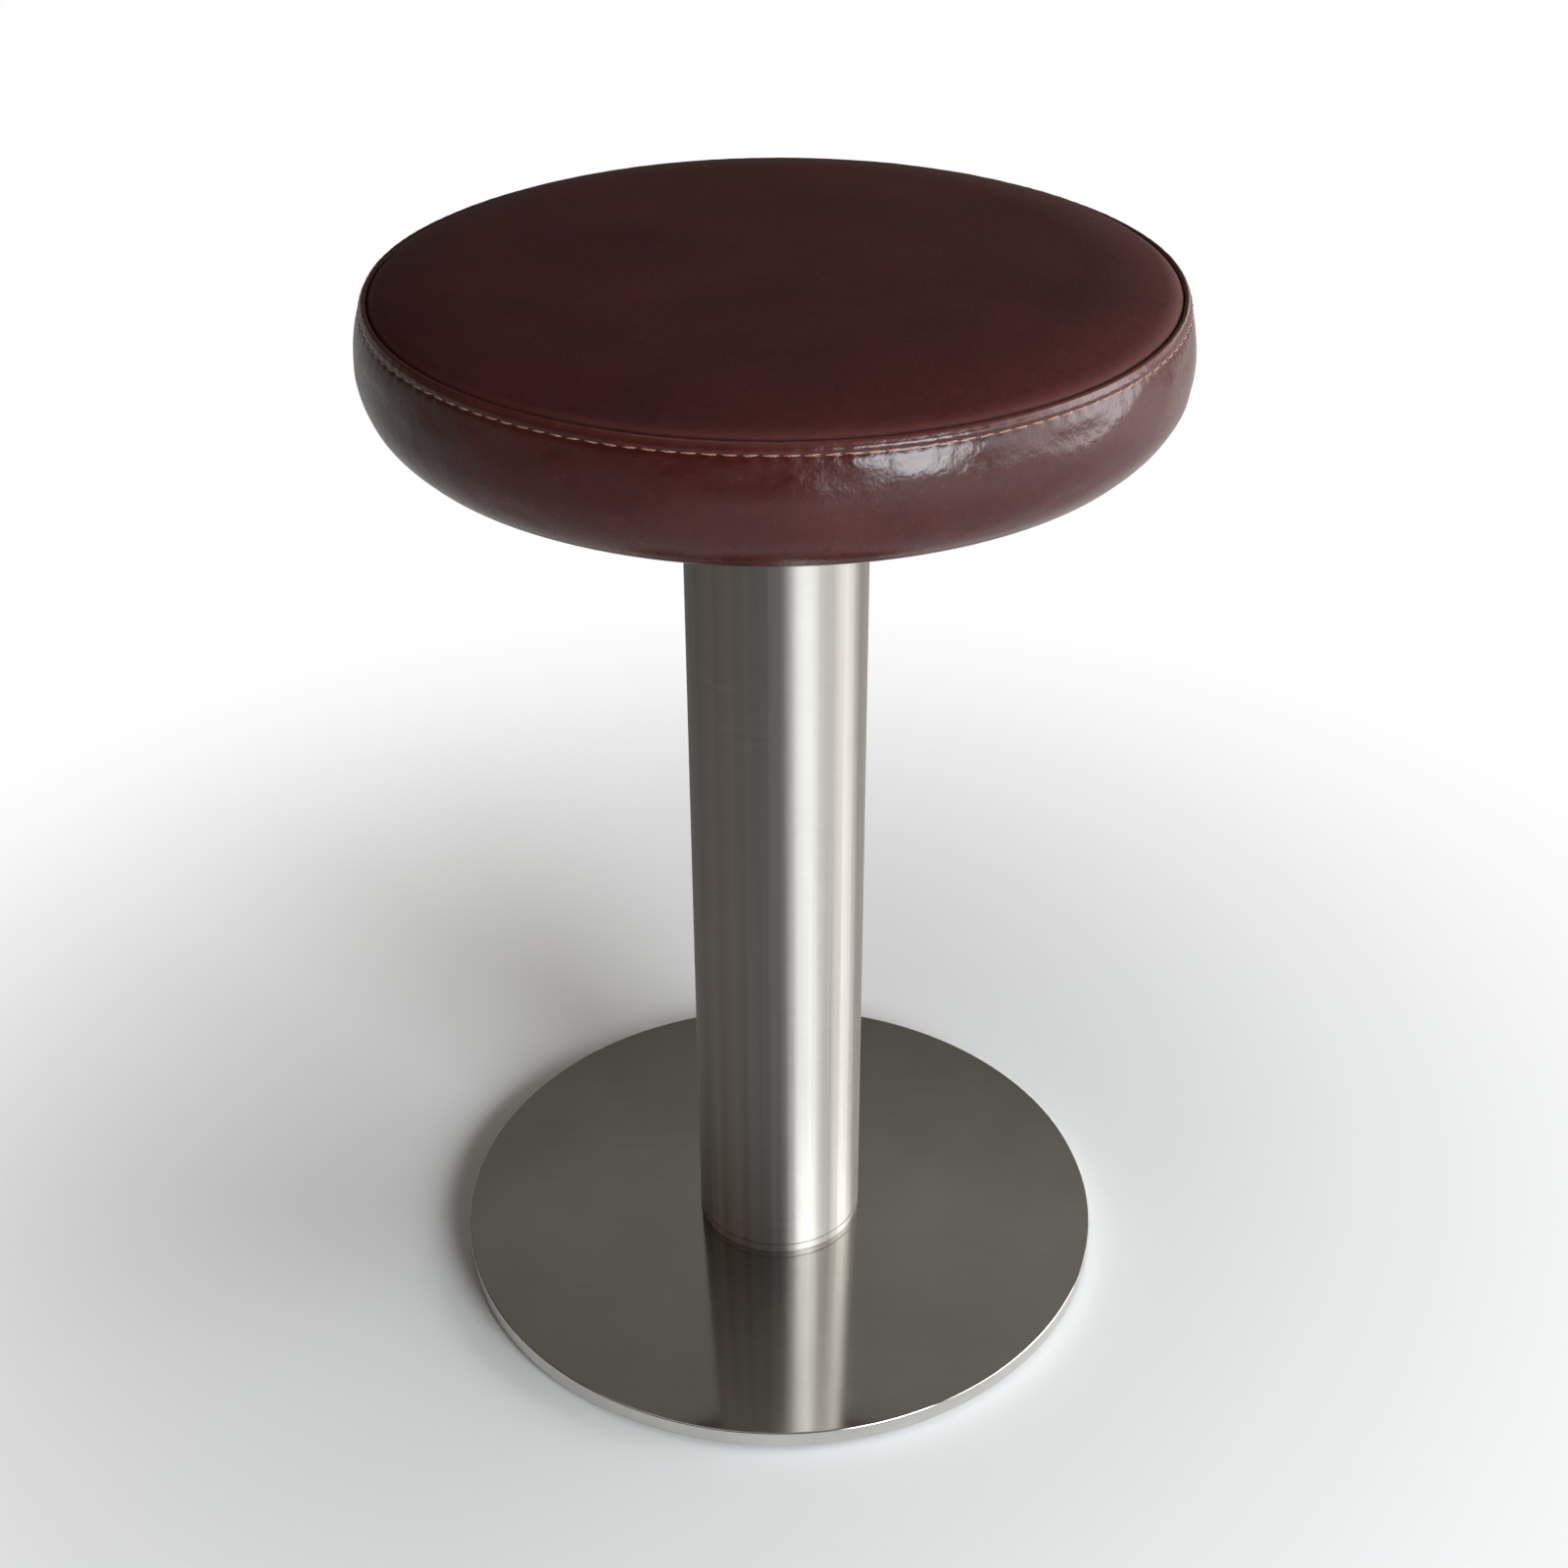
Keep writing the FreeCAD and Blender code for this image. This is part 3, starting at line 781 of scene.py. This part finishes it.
class SeatCushion:
    """The upholstery: foam, leather side, leather top and topstitch."""

    HEM_BULGE = 1.05 * MM
    BELLY_BULGE = 2.6 * MM
    CHEST_BULGE = 0.8 * MM
    LIP_BULGE = 0.3 * MM
    SHOULDER_BULGE = 0.62 * MM
    SLOPE_BULGE = 0.85 * MM
    SIDE_SPACING = 0.75 * MM
    TOP_SPACING = 1.5 * MM
    FOAM_SPACING = 3.0 * MM
    CLOTH_SPACING = 5.0 * MM
    HELD_UP = 6.0 * MM
    FOAM_GAP = 0.3 * MM
    SKIRT_UP = 3.0 * MM
    SIDE_WEAR = 2.0 * MM
    TOP_WEAR = 0.9 * MM
    TOP_WEAR_UP = 1.0 * MM
    FILL = 0.9

    def __init__(self, wardrobe: Wardrobe) -> None:
        """Take the board's place from the frame.

        Args:
            wardrobe: Where the finishes come from.
        """
        low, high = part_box("seat_board")
        self.sizes = SeatSizes(board_r=high[0], board_z=low[2], board_top_z=high[2])
        self.waves = Waves()
        self.wardrobe = wardrobe
        held_z = self.sizes.board_z + self.HELD_UP
        self.stuffing = Stuffing(low=held_z, seam_r=self.sizes.stitch_r, seam_z=self.sizes.stitch_z)

    def side_steps(self) -> Steps:
        """Outside of the side, from where it turns under to the topstitch."""
        s = self.sizes
        return [
            (s.board_r - s.hem_in, s.board_z - s.leather),
            (s.board_r + s.hem_out, s.board_z + s.hem_up, self.HEM_BULGE),
            (s.board_r + s.side_swell, s.board_z + s.swell_up, self.BELLY_BULGE),
            (s.stitch_r, s.stitch_z, self.CHEST_BULGE),
        ]

    def crown_steps(self) -> Steps:
        """Outside of the top, from its rim to the middle."""
        s = self.sizes
        slope_r = s.rim[0] - s.shoulder_in - s.ease_in
        slope_z = s.rim[1] + s.shoulder_up + s.ease_up
        dome_r = slope_r - s.slope_in + s.ease_in
        dome_z = slope_z + s.slope_up - s.ease_up
        half_turn = math.atan2(s.crown_up, dome_r) / 2
        return [
            (slope_r, slope_z, self.SHOULDER_BULGE),
            (dome_r, dome_z, self.SLOPE_BULGE),
            (0.0, dome_z + s.crown_up, math.hypot(dome_r, s.crown_up) / 2 * math.tan(half_turn)),
        ]

    def cover_section(self, spacing: float) -> Section:
        """Outside of the whole cover, from its tuck under the board to the crown's middle."""
        s = self.sizes
        return section_of(s.tuck, self.side_steps() + [s.rim] + self.crown_steps(), spacing)

    def pucker(self, angle: float, below: float) -> float:
        """Height of the small gathers that the thread pulls into the leather.

        Args:
            angle: Where round the seat.
            below: Distance from the topstitch.

        Returns:
            How far the leather stands out.
        """
        s, w = self.sizes, self.waves
        wave = math.cos(s.stitches * angle)
        pull = -w.pull * fall(below, w.pull_reach) * (1 - w.pull_change * (1 + wave))
        gather = w.gather * wave * fall(below, w.gather_reach)
        fold = w.fold * round_noise(angle, w.folds, below / w.fold_length) * fall(below, w.fold_reach)
        drift = w.drift * math.sin(angle * s.stitch_r / w.drift_length) * fall(below, w.drift_reach)
        return pull + gather + fold + drift

    def uneven(self, angle: float, height: float) -> float:
        """Slow waviness of the stretched side, from about minus one to one."""
        length = self.waves.side_length
        parts = self.waves.side_parts
        return sum(share * round_noise(angle, waves, waves * height / length) for share, waves in parts)

    def build_side(self) -> Piece:
        """Leather side with its folded, topstitched edge."""
        s, w = self.sizes, self.waves
        lip = s.leather + s.lip_fill / 2
        quarter = lip * (1 - math.sqrt(0.5))
        side = layer("leather_side", section_of(s.tuck, self.side_steps() + [
            (s.seam_r + 2 * lip, s.seam_z - lip, self.LIP_BULGE),
            (s.seam_r + lip, s.seam_z, quarter),
            (s.seam_r, s.seam_z - lip, quarter),
            (s.seam_r, s.seam_z - s.allowance),
        ], self.SIDE_SPACING), s.leather)

        def shift(angle: float, radius: float, height: float) -> float:
            """Gathers under the topstitch and slow waviness below them."""
            up = height - s.board_z
            if radius < s.seam_r + w.still_lip_share * lip or up < s.hem_up:
                return 0.0
            free = min(1.0, (up - s.hem_up) / w.side_fade)
            slow = w.side * self.uneven(angle, height) * fall(up - w.side_middle, w.side_reach)
            slow += self.stuffing.shift(angle, radius, height)
            return free * (self.pucker(angle, s.stitch_z - height) + slow)

        move_points(side, shift)
        self.mark_wear(side, s.seam_z, self.SIDE_WEAR)
        return side

    def build_top(self) -> Piece:
        """Leather top with a low crown and a rounded edge."""
        s, w = self.sizes, self.waves
        rim_r, rim_z = s.rim
        hem = (rim_r, s.seam_z - s.allowance)
        outer = section_of(hem, [s.rim] + self.crown_steps(), self.TOP_SPACING)
        top = layer("leather_top", outer, s.leather)

        def shift(angle: float, radius: float, height: float) -> float:
            """Slow waviness, and faint gathers along the rim."""
            if height < rim_z:
                return 0.0
            rise = min(1.0, (height - rim_z) / w.rim_fade)
            inward = rim_r - radius
            across = Vector((radius * math.cos(angle), radius * math.sin(angle), 0.0))
            slow = w.top * noise.noise(across / w.top_length) * min(1.0, inward / w.top_fade)
            slow += w.top_settled_share * self.stuffing.shift(angle, radius, height)
            gather = w.rim * round_noise(angle, w.rim_folds, inward / w.rim_length)
            return rise * (slow + gather * fall(inward - w.rim_inset, w.rim_reach))

        move_points(top, shift)
        self.mark_wear(top, rim_z + self.TOP_WEAR_UP, self.TOP_WEAR)
        return top

    def mark_wear(self, piece: Piece, height: float, reach: float) -> None:
        """Store where the leather is rubbed, as an attribute that its finish reads."""
        worn = piece.data.attributes.new("worn", "FLOAT", "POINT")
        worn.data.foreach_set("value", [fall(point.co.z - height, reach) for point in piece.data.vertices])

    def build_foam(self) -> Piece:
        """Foam over the board, inside the leather."""
        s = self.sizes
        gap = self.FOAM_GAP
        skirt_z = s.board_z + self.SKIRT_UP
        notch_r = s.rim[0] - s.leather - gap
        notch_z = s.seam_z - s.allowance - gap
        inside = inset(self.cover_section(self.FOAM_SPACING), s.leather + gap)
        side = [point for point in inside if skirt_z < point[1] < notch_z]
        crown = [point for point in inside if point[0] < notch_r - gap and point[1] > s.rim[1]]
        board = [(0.0, s.board_top_z), (s.board_r + gap, s.board_top_z), (s.board_r + gap, skirt_z)]
        notch = [(notch_r, notch_z), (notch_r, crown[0][1] - gap)]
        return turned("seat_foam", board + side + notch + crown, closed=False, around=AROUND // 4)

    def build_stitches(self) -> Piece:
        """Topstitch round the side, one short dipping thread to each stitch."""
        s = self.sizes
        row = StitchRow(radius=s.stitch_r, height=s.stitch_z, count=s.stitches)
        return row.make("topstitch", self.wardrobe.get(Slot.THREAD))

    def build(self) -> None:
        """Make and dress every soft piece of the seat."""
        plan = [
            (self.build_side, Slot.LEATHER, None, "side_band", self.FILL),
            (self.build_top, Slot.LEATHER, TOP_LEATHER, "top_panel", self.FILL),
            (self.build_foam, Slot.FOAM, None, "foam_pad", self.FILL),
            (self.build_stitches, Slot.THREAD, None, "seam_stitches", None),
        ]
        self.stuffing.settle(self.cover_section(self.CLOTH_SPACING))
        for make, slot, own, node, fill in plan:
            piece = make()
            self.wardrobe.dress(piece, slot, own)
            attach(piece, Body.SEAT.value)
            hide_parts(node)
            LOG.info("%s: %d points", piece.name, len(piece.data.vertices))


@dataclass
class StitchRow:
    """A row of stitches round the Z axis, made by geometry nodes."""

    radius: float
    height: float
    count: int
    length: float = 5.7 * MM
    thread: float = 0.33 * MM
    rise: float = 0.65 * MM
    dip: float = 0.75 * MM
    lean: float = 0.30
    seed: int = 11
    smoothness: int = 8
    narrowing: float = 0.45
    tilt: float = 0.07

    def inputs(self) -> dict[str, float]:
        """Values of the tree's inputs, by name."""
        return {"Radius": self.radius, "Height": self.height, "Count": self.count,
                "Length": self.length, "Thread": self.thread, "Rise": self.rise,
                "Dip": self.dip, "Lean": self.lean, "Seed": self.seed}

    def tree(self, material: Material) -> tuple[Tree, dict[str, str]]:
        """Build the node tree.

        Args:
            material: The thread's material.

        Returns:
            The tree, and the identifier of each named input.
        """
        tree = bpy.data.node_groups.new("stitch_row", "GeometryNodeTree")
        names = {}
        for name, value in self.inputs().items():
            kind = "NodeSocketInt" if isinstance(value, int) else "NodeSocketFloat"
            names[name] = tree.interface.new_socket(name, in_out="INPUT", socket_type=kind).identifier
        tree.interface.new_socket("Geometry", in_out="OUTPUT", socket_type="NodeSocketGeometry")
        sheet = NodeSheet(tree)
        given = sheet.add("NodeGroupInput").outputs
        row = self.place_nodes(sheet, given, self.thread_nodes(sheet, given))
        real = sheet.add("GeometryNodeRealizeInstances", Geometry=row)
        paint = sheet.add("GeometryNodeSetMaterial", Geometry=real.outputs[0], Material=material)
        sheet.add("NodeGroupOutput", Geometry=paint.outputs[0])
        return tree, names

    def thread_nodes(self, sheet: NodeSheet, given: Sockets) -> Socket:
        """One stitch: an arched thread along X that narrows into its holes."""
        half = sheet.calculate("MULTIPLY", given["Length"], 0.5)
        back = sheet.calculate("MULTIPLY", given["Length"], -0.5)
        down = sheet.calculate("MULTIPLY", given["Dip"], -1.0)
        bow = sheet.add(
            "GeometryNodeCurveQuadraticBezier",
            Resolution=self.smoothness,
            Start=sheet.vector(back, 0.0, down),
            Middle=sheet.vector(0.0, 0.0, given["Rise"]),
            End=sheet.vector(half, 0.0, down),
        )
        along = sheet.add("GeometryNodeSplineParameter").outputs["Factor"]
        wave = sheet.calculate("SINE", sheet.calculate("MULTIPLY", along, math.pi))
        full = sheet.sum(1.0 - self.narrowing, wave, self.narrowing)
        size = sheet.add("GeometryNodeSetCurveRadius", Curve=bow.outputs[0], Radius=full)
        ring = sheet.add("GeometryNodeCurvePrimitiveCircle", Resolution=self.smoothness,
                         Radius=given["Thread"])
        tube = sheet.add("GeometryNodeCurveToMesh", Curve=size.outputs[0], Profile_Curve=ring.outputs[0],
                         Fill_Caps=True)
        if "Scale" in tube.inputs:
            sheet.feed(tube.inputs["Scale"], full)
        return tube.outputs[0]

    def place_nodes(self, sheet: NodeSheet, given: Sockets, thread: Socket) -> Socket:
        """Set a stitch at each point of a circle, leaning with the leather."""
        index = sheet.add("GeometryNodeInputIndex").outputs[0]
        step = sheet.calculate("DIVIDE", FULL_TURN, given["Count"])
        angle = sheet.calculate("MULTIPLY", index, step)
        cosine = sheet.calculate("COSINE", angle)
        sine = sheet.calculate("SINE", angle)
        level = sheet.calculate("COSINE", given["Lean"])
        place = sheet.vector(
            sheet.calculate("MULTIPLY", given["Radius"], cosine),
            sheet.calculate("MULTIPLY", given["Radius"], sine),
            given["Height"],
        )
        normal = sheet.vector(
            sheet.calculate("MULTIPLY", cosine, level),
            sheet.calculate("MULTIPLY", sine, level),
            sheet.calculate("SINE", given["Lean"]),
        )
        tangent = sheet.vector(sheet.calculate("MULTIPLY", sine, -1.0), cosine, 0.0)
        points = sheet.add("GeometryNodePoints", Count=given["Count"], Position=place)
        axes = sheet.add("FunctionNodeAxesToRotation", Primary_Axis=normal, Secondary_Axis=tangent)
        axes.primary_axis = "Z"
        axes.secondary_axis = "X"
        copies = sheet.add("GeometryNodeInstanceOnPoints", Points=points.outputs[0], Instance=thread,
                           Rotation=axes.outputs[0])
        chance = sheet.add("FunctionNodeRandomValue")
        chance.data_type = "FLOAT_VECTOR"
        chance.inputs["Min"].default_value = (0.0, 0.0, -self.tilt)
        chance.inputs["Max"].default_value = (0.0, 0.0, self.tilt)
        sheet.feed(chance.inputs["Seed"], given["Seed"])
        tilted = sheet.add("GeometryNodeRotateInstances", Instances=copies.outputs[0],
                           Rotation=chance.outputs["Value"])
        return tilted.outputs[0]

    def make(self, name: str, material: Material) -> Piece:
        """Run the tree on an empty object and keep its result as a plain mesh.

        Args:
            name: The new object's name.
            material: The thread's material.

        Returns:
            The row of stitches.
        """
        holder = add_object("stitch_maker", bpy.data.meshes.new("stitch_maker"))
        maker = holder.modifiers.new("stitches", "NODES")
        maker.node_group, names = self.tree(material)
        for key, value in self.inputs().items():
            maker[names[key]] = value
        holder.data.update()
        data = finished_mesh(holder)
        data.name = name
        data.shade_smooth()
        bpy.data.objects.remove(holder)
        return add_object(name, data)


@dataclass
class Pedestal:
    """Base plate, foot lip and column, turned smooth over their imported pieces."""

    wardrobe: Wardrobe
    edge: float = 0.8 * MM
    lip_edge: float = 0.25 * MM
    edge_steps: int = 5
    plate_sharp_degrees: float = 40.0
    tube_sharp_degrees: float = 35.0
    slit: float = 0.45 * MM
    wall: float = 2.0 * MM
    lip_bore: float = 10.0 * MM
    clearance: float = 0.1 * MM
    overrun: float = 1.0 * MM
    screw_ring: float = 22.95 * MM
    screw_r: float = 4.1 * MM
    head_r: float = 8.1 * MM
    head_land: float = 0.5 * MM
    screw_count: int = 4
    drill_columns: int = 48

    def edge_section(self, radius: float, low: float, high: float, edge: float, inner: float) -> Section:
        """Section of a disc or ring with its two outer edges rounded, as a chain of points."""
        turns = [math.radians(90.0 * i / self.edge_steps) for i in range(self.edge_steps + 1)]
        lower = [(radius - edge + edge * math.sin(t), low + edge - edge * math.cos(t)) for t in turns]
        upper = [(radius - edge + edge * math.cos(t), high - edge + edge * math.sin(t)) for t in turns]
        return [(inner, low)] + lower + upper + [(inner, high)]

    def cut_screw_holes(self, piece: Piece, low: float, high: float) -> None:
        """Cut the countersunk screw holes into a piece.

        Args:
            piece: The piece to cut.
            low: Height where the heads start.
            high: Height where the shanks end.
        """
        cone_z = low + self.head_land
        section = [
            (0.0, low - self.overrun), (self.head_r, low - self.overrun), (self.head_r, cone_z),
            (self.screw_r, cone_z + self.head_r - self.screw_r), (self.screw_r, high), (0.0, high),
        ]
        for number in range(self.screw_count):
            drill = turned("drill", section, closed=False, around=self.drill_columns)
            angle = FULL_TURN * number / self.screw_count
            place = (self.screw_ring * math.cos(angle), self.screw_ring * math.sin(angle), 0.0)
            drill.data.transform(Matrix.Translation(place))
            cut = piece.modifiers.new("hole", "BOOLEAN")
            cut.operation = "DIFFERENCE"
            cut.solver = "EXACT"
            cut.object = drill
            data = finished_mesh(piece)
            piece.modifiers.remove(cut)
            piece.data = data
            bpy.data.objects.remove(drill)

    def build_plate(self) -> Piece:
        """Base plate with a softened rim and countersunk holes."""
        low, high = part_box("base_plate")
        section = self.edge_section(high[0], low[2], high[2], self.edge, 0.0)
        plate = turned("floor_plate", section, closed=False)
        self.cut_screw_holes(plate, low[2], high[2] + self.overrun)
        crease_sharply(plate, self.plate_sharp_degrees)
        return plate

    def build_lip(self) -> Piece:
        """Foot flange: the thin lip under the column, and the spigot inside it."""
        low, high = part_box("foot_flange")
        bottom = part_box("post_tube")[0][2]
        screws_low, screws_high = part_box("foot_screws")
        spigot = high[0] - self.wall - self.clearance
        section = self.edge_section(high[0], low[2], bottom, self.lip_edge, self.lip_bore)
        section[-1] = (spigot, bottom)
        section += [(spigot, high[2]), (self.lip_bore, high[2])]
        lip = turned("foot_lip", section, closed=True)
        self.cut_screw_holes(lip, screws_low[2], screws_high[2] + self.clearance)
        crease_sharply(lip, self.tube_sharp_degrees)
        return lip

    def build_column(self) -> Piece:
        """Column tube with its ends just broken, and the fine slit that shows over its foot."""
        low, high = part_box("post_tube")
        bore = high[0] - self.wall
        section = self.edge_section(high[0], low[2] + self.slit, high[2], self.lip_edge, bore)
        tube = turned("column", section, closed=True)
        crease_sharply(tube, self.tube_sharp_degrees)
        return tube

    def build(self) -> None:
        """Make and dress the pedestal's large pieces."""
        plan = [
            (self.build_plate, Slot.BASE_STEEL, "base_plate"),
            (self.build_lip, Slot.COLUMN_STEEL, "foot_flange"),
            (self.build_column, Slot.COLUMN_STEEL, "post_tube"),
        ]
        for make, slot, node in plan:
            piece = make()
            self.wardrobe.dress(piece, slot)
            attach(piece, Body.PEDESTAL.value)
            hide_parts(node)
            LOG.info("%s: %d points", piece.name, len(piece.data.vertices))


class Hardware:
    """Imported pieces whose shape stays: bearings, fasteners, board, cloth and pads."""

    NODES = {
        Slot.RUBBER: ("floor_pads",),
        Slot.NYLON: ("upper_bush", "lower_bush"),
        Slot.BEARING_STEEL: ("thrust_washer_lower", "thrust_balls", "thrust_washer_upper",
                             "swivel_spindle", "spindle_circlip"),
        Slot.BRASS: ("thrust_cage",),
        Slot.BLACK_STEEL: ("seat_plate",),
        Slot.PLYWOOD: ("seat_board",),
        Slot.DUST_CLOTH: ("dust_cover",),
        Slot.ZINC: ("foot_screws", "head_plug", "bearing_sleeve", "spindle_washer", "seat_plate_screws",
                    "t_nuts", "cover_staples", "dust_cover_staples"),
    }

    def __init__(self, frame: dict, wardrobe: Wardrobe) -> None:
        """Remember the frame and the finishes.

        Args:
            wardrobe: Where the finishes come from.
        """
        self.nodes = frame["nodes"]
        self.wardrobe = wardrobe

    def dress(self) -> None:
        """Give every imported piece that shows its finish."""
        for slot, nodes in self.NODES.items():
            for node in nodes:
                self.wardrobe.dress(self.nodes[node], slot)
                LOG.info("%s: %s", node, slot.value)


@dataclass
class Lamp:
    """A soft lamp, placed round the stool by angle."""

    name: str
    azimuth: float
    elevation: float
    distance: float
    size: tuple[float, float]
    watts: float
    colour: Colour
    aim: float = 0.3

    def place(self) -> None:
        """Hang the lamp and turn it to the stool."""
        data = bpy.data.lights.new(self.name, "AREA")
        data.shape = "RECTANGLE"
        data.size, data.size_y = self.size
        data.energy = self.watts
        data.color = self.colour
        turn, rise = math.radians(self.azimuth), math.radians(self.elevation)
        level = math.cos(rise)
        towards = Vector((math.sin(turn) * level, -math.cos(turn) * level, math.sin(rise)))
        lamp = add_object(self.name, data)
        lamp.location = Vector((0, 0, self.aim)) + towards * self.distance
        lamp.rotation_euler = towards.to_track_quat("Z", "Y").to_euler()


@dataclass
class Studio:
    """Pale floor, soft lamps, even surroundings and the camera."""

    floor_size: float = 40.0
    floor_colour: Colour = (0.78, 0.78, 0.775)
    pale_from: float = 0.17
    pale_to: float = 0.68
    mirrored: float = 0.25
    mirrored_sky: float = 0.02
    sky: tuple[tuple[float, Colour], ...] = (
        (1.5, (0.90, 0.90, 0.90)),
        (4.0, (0.40, 0.39, 0.38)),
        (8.0, (0.095, 0.090, 0.083)),
        (26.0, (0.086, 0.082, 0.075)),
        (42.0, (0.190, 0.184, 0.170)),
        (90.0, (0.128, 0.124, 0.115)),
    )
    sides: tuple[tuple[float, Colour], ...] = (
        (-90.0, (0.34, 0.29, 0.24)),
        (-50.0, (0.38, 0.33, 0.28)),
        (-25.0, (0.42, 0.41, 0.40)),
        (6.0, (0.28, 0.28, 0.28)),
        (30.0, (1.00, 1.00, 1.00)),
        (110.0, (1.00, 0.99, 0.97)),
        (169.0, (1.00, 0.98, 0.95)),
        (190.0, (0.76, 0.74, 0.71)),
        (230.0, (0.42, 0.38, 0.34)),
        (270.0, (0.34, 0.29, 0.24)),
    )
    camera_at: Triple = (0.0, -0.8384, 0.7671)
    camera_aim: Triple = (0.0, 0.0, 0.2537)
    focal_pixels: float = 2324.3
    middle_pixels: tuple[float, float] = (793.3, 786.9)
    roll_degrees: float = -0.27

    LAMPS = (
        Lamp("window", 34.0, 13.0, 2.2, (1.00, 0.85), 59.0, (0.90, 0.95, 1.0)),
        Lamp("side_window", 82.0, 12.0, 2.3, (2.4, 1.3), 41.0, (0.98, 0.98, 1.0)),
        Lamp("far_window", 88.0, 12.0, 2.4, (0.9, 1.3), 20.0, (0.95, 0.97, 1.0)),
        Lamp("cream_fill", 134.0, 12.0, 2.6, (1.6, 0.9), 9.0, (1.0, 0.93, 0.82)),
        Lamp("overhead", -70.0, 80.0, 2.8, (1.8, 1.8), 9.0, (1.0, 0.99, 0.97)),
        Lamp("wood_fill", -68.0, 12.0, 2.3, (2.2, 1.3), 1.3, (1.0, 0.58, 0.30)),
    )

    def lay_floor(self) -> None:
        """A wide matt floor."""
        half = self.floor_size / 2
        corners = [(-half, -half, 0), (half, -half, 0), (half, half, 0), (-half, half, 0)]
        data = bpy.data.meshes.new("studio_floor")
        data.from_pydata(corners, [], [(0, 1, 2, 3)])
        data.materials.append(self.floor_finish())
        floor = add_object("studio_floor", data)

    def floor_finish(self) -> Material:
        """Matt floor that fades to white away from the stool, for the eye and in reflections."""
        sheet = FinishSheet("studio_floor")
        sheet.fix(Base_Color=(*self.floor_colour, 1.0), Roughness=0.9, Specular_IOR_Level=0.2)
        distance = sheet.add("ShaderNodeVectorMath", Vector=sheet.place)
        distance.operation = "LENGTH"
        reach = sheet.add("ShaderNodeMapRange", Value=distance.outputs["Value"],
                          From_Min=self.pale_from, From_Max=self.pale_to)
        reach.interpolation_type = "SMOOTHSTEP"
        share = sheet.calculate("MULTIPLY", sheet.seen(self.mirrored), reach.outputs["Result"])
        glow = sheet.add("ShaderNodeEmission", Color=WHITE, Strength=1.0)
        surface = sheet.tree.nodes["Material Output"].inputs["Surface"]
        sheet.feed(surface, sheet.mix(share, sheet.shader, glow))
        return sheet.material

    def hang_sky(self) -> None:
        """A room round the stool, darker on its left, which the eye sees as white."""
        world = bpy.data.worlds.new("studio")
        bpy.context.scene.world = world
        world.use_nodes = True
        sheet = NodeSheet(world.node_tree)
        place = sheet.add("ShaderNodeTexCoord").outputs["Generated"]
        parts = sheet.add("ShaderNodeSeparateXYZ", Vector=place)
        turn = sheet.add("ShaderNodeTexGradient", Vector=place)
        turn.gradient_type = "RADIAL"
        upright = [(math.sin(math.radians(degrees)), colour) for degrees, colour in self.sky]
        level = [((degrees + 90.0) / 360.0, colour) for degrees, colour in self.sides]
        both = sheet.add("ShaderNodeVectorMath")
        both.operation = "MULTIPLY"
        sheet.feed(both.inputs[0], self.ramp(sheet, parts.outputs["Z"], upright))
        sheet.feed(both.inputs[1], self.ramp(sheet, turn.outputs["Fac"], level))
        room = sheet.tree.nodes["Background"]
        sheet.feed(room.inputs["Color"], both.outputs["Vector"])
        pale = sheet.add("ShaderNodeBackground", Color=WHITE)
        surface = sheet.tree.nodes["World Output"].inputs["Surface"]
        sheet.feed(surface, sheet.mix(sheet.seen(self.mirrored_sky), room, pale))

    def ramp(self, sheet: NodeSheet, place: Socket, stops: list[tuple[float, Colour]]) -> Socket:
        """Add a colour ramp with these stops and return its colour."""
        node = sheet.add("ShaderNodeValToRGB", Fac=place)
        marks = node.color_ramp.elements
        while len(marks) < len(stops):
            marks.new(1.0)
        for mark, (position, colour) in zip(marks, stops):
            mark.position = position
            mark.color = (*colour, 1.0)
        return node.outputs["Color"]

    def set_camera(self) -> None:
        """Stand the camera where the photograph was taken from."""
        data = bpy.data.cameras.new("camera")
        data.sensor_width = SENSOR_MM
        data.lens = self.focal_pixels / PHOTO_PIXELS * SENSOR_MM
        data.shift_x = (PHOTO_PIXELS / 2 - self.middle_pixels[0]) / PHOTO_PIXELS
        data.shift_y = (self.middle_pixels[1] - PHOTO_PIXELS / 2) / PHOTO_PIXELS
        camera = add_object("camera", data)
        camera.location = self.camera_at
        back = (Vector(self.camera_at) - Vector(self.camera_aim)).normalized()
        level = back.to_track_quat("Z", "Y").to_matrix()
        roll = Matrix.Rotation(math.radians(self.roll_degrees), 3, "Z")
        camera.rotation_euler = (level @ roll).to_euler()
        bpy.context.scene.camera = camera

    def build(self) -> None:
        """Set the whole studio up."""
        self.lay_floor()
        self.hang_sky()
        for lamp in self.LAMPS:
            lamp.place()
        self.set_camera()
        bpy.context.scene.view_settings.view_transform = "Standard"
        LOG.info("studio: %d lamps", len(self.LAMPS))


def main() -> None:
    """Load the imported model, dress it and set up the studio."""
    logging.basicConfig(level=logging.INFO, format="%(name)s: %(message)s")
    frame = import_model()
    wardrobe = Wardrobe()
    Hardware(frame, wardrobe).dress()
    Pedestal(wardrobe).build()
    SeatCushion(wardrobe).build()
    Studio().build()


if __name__ == "__main__":
    main()
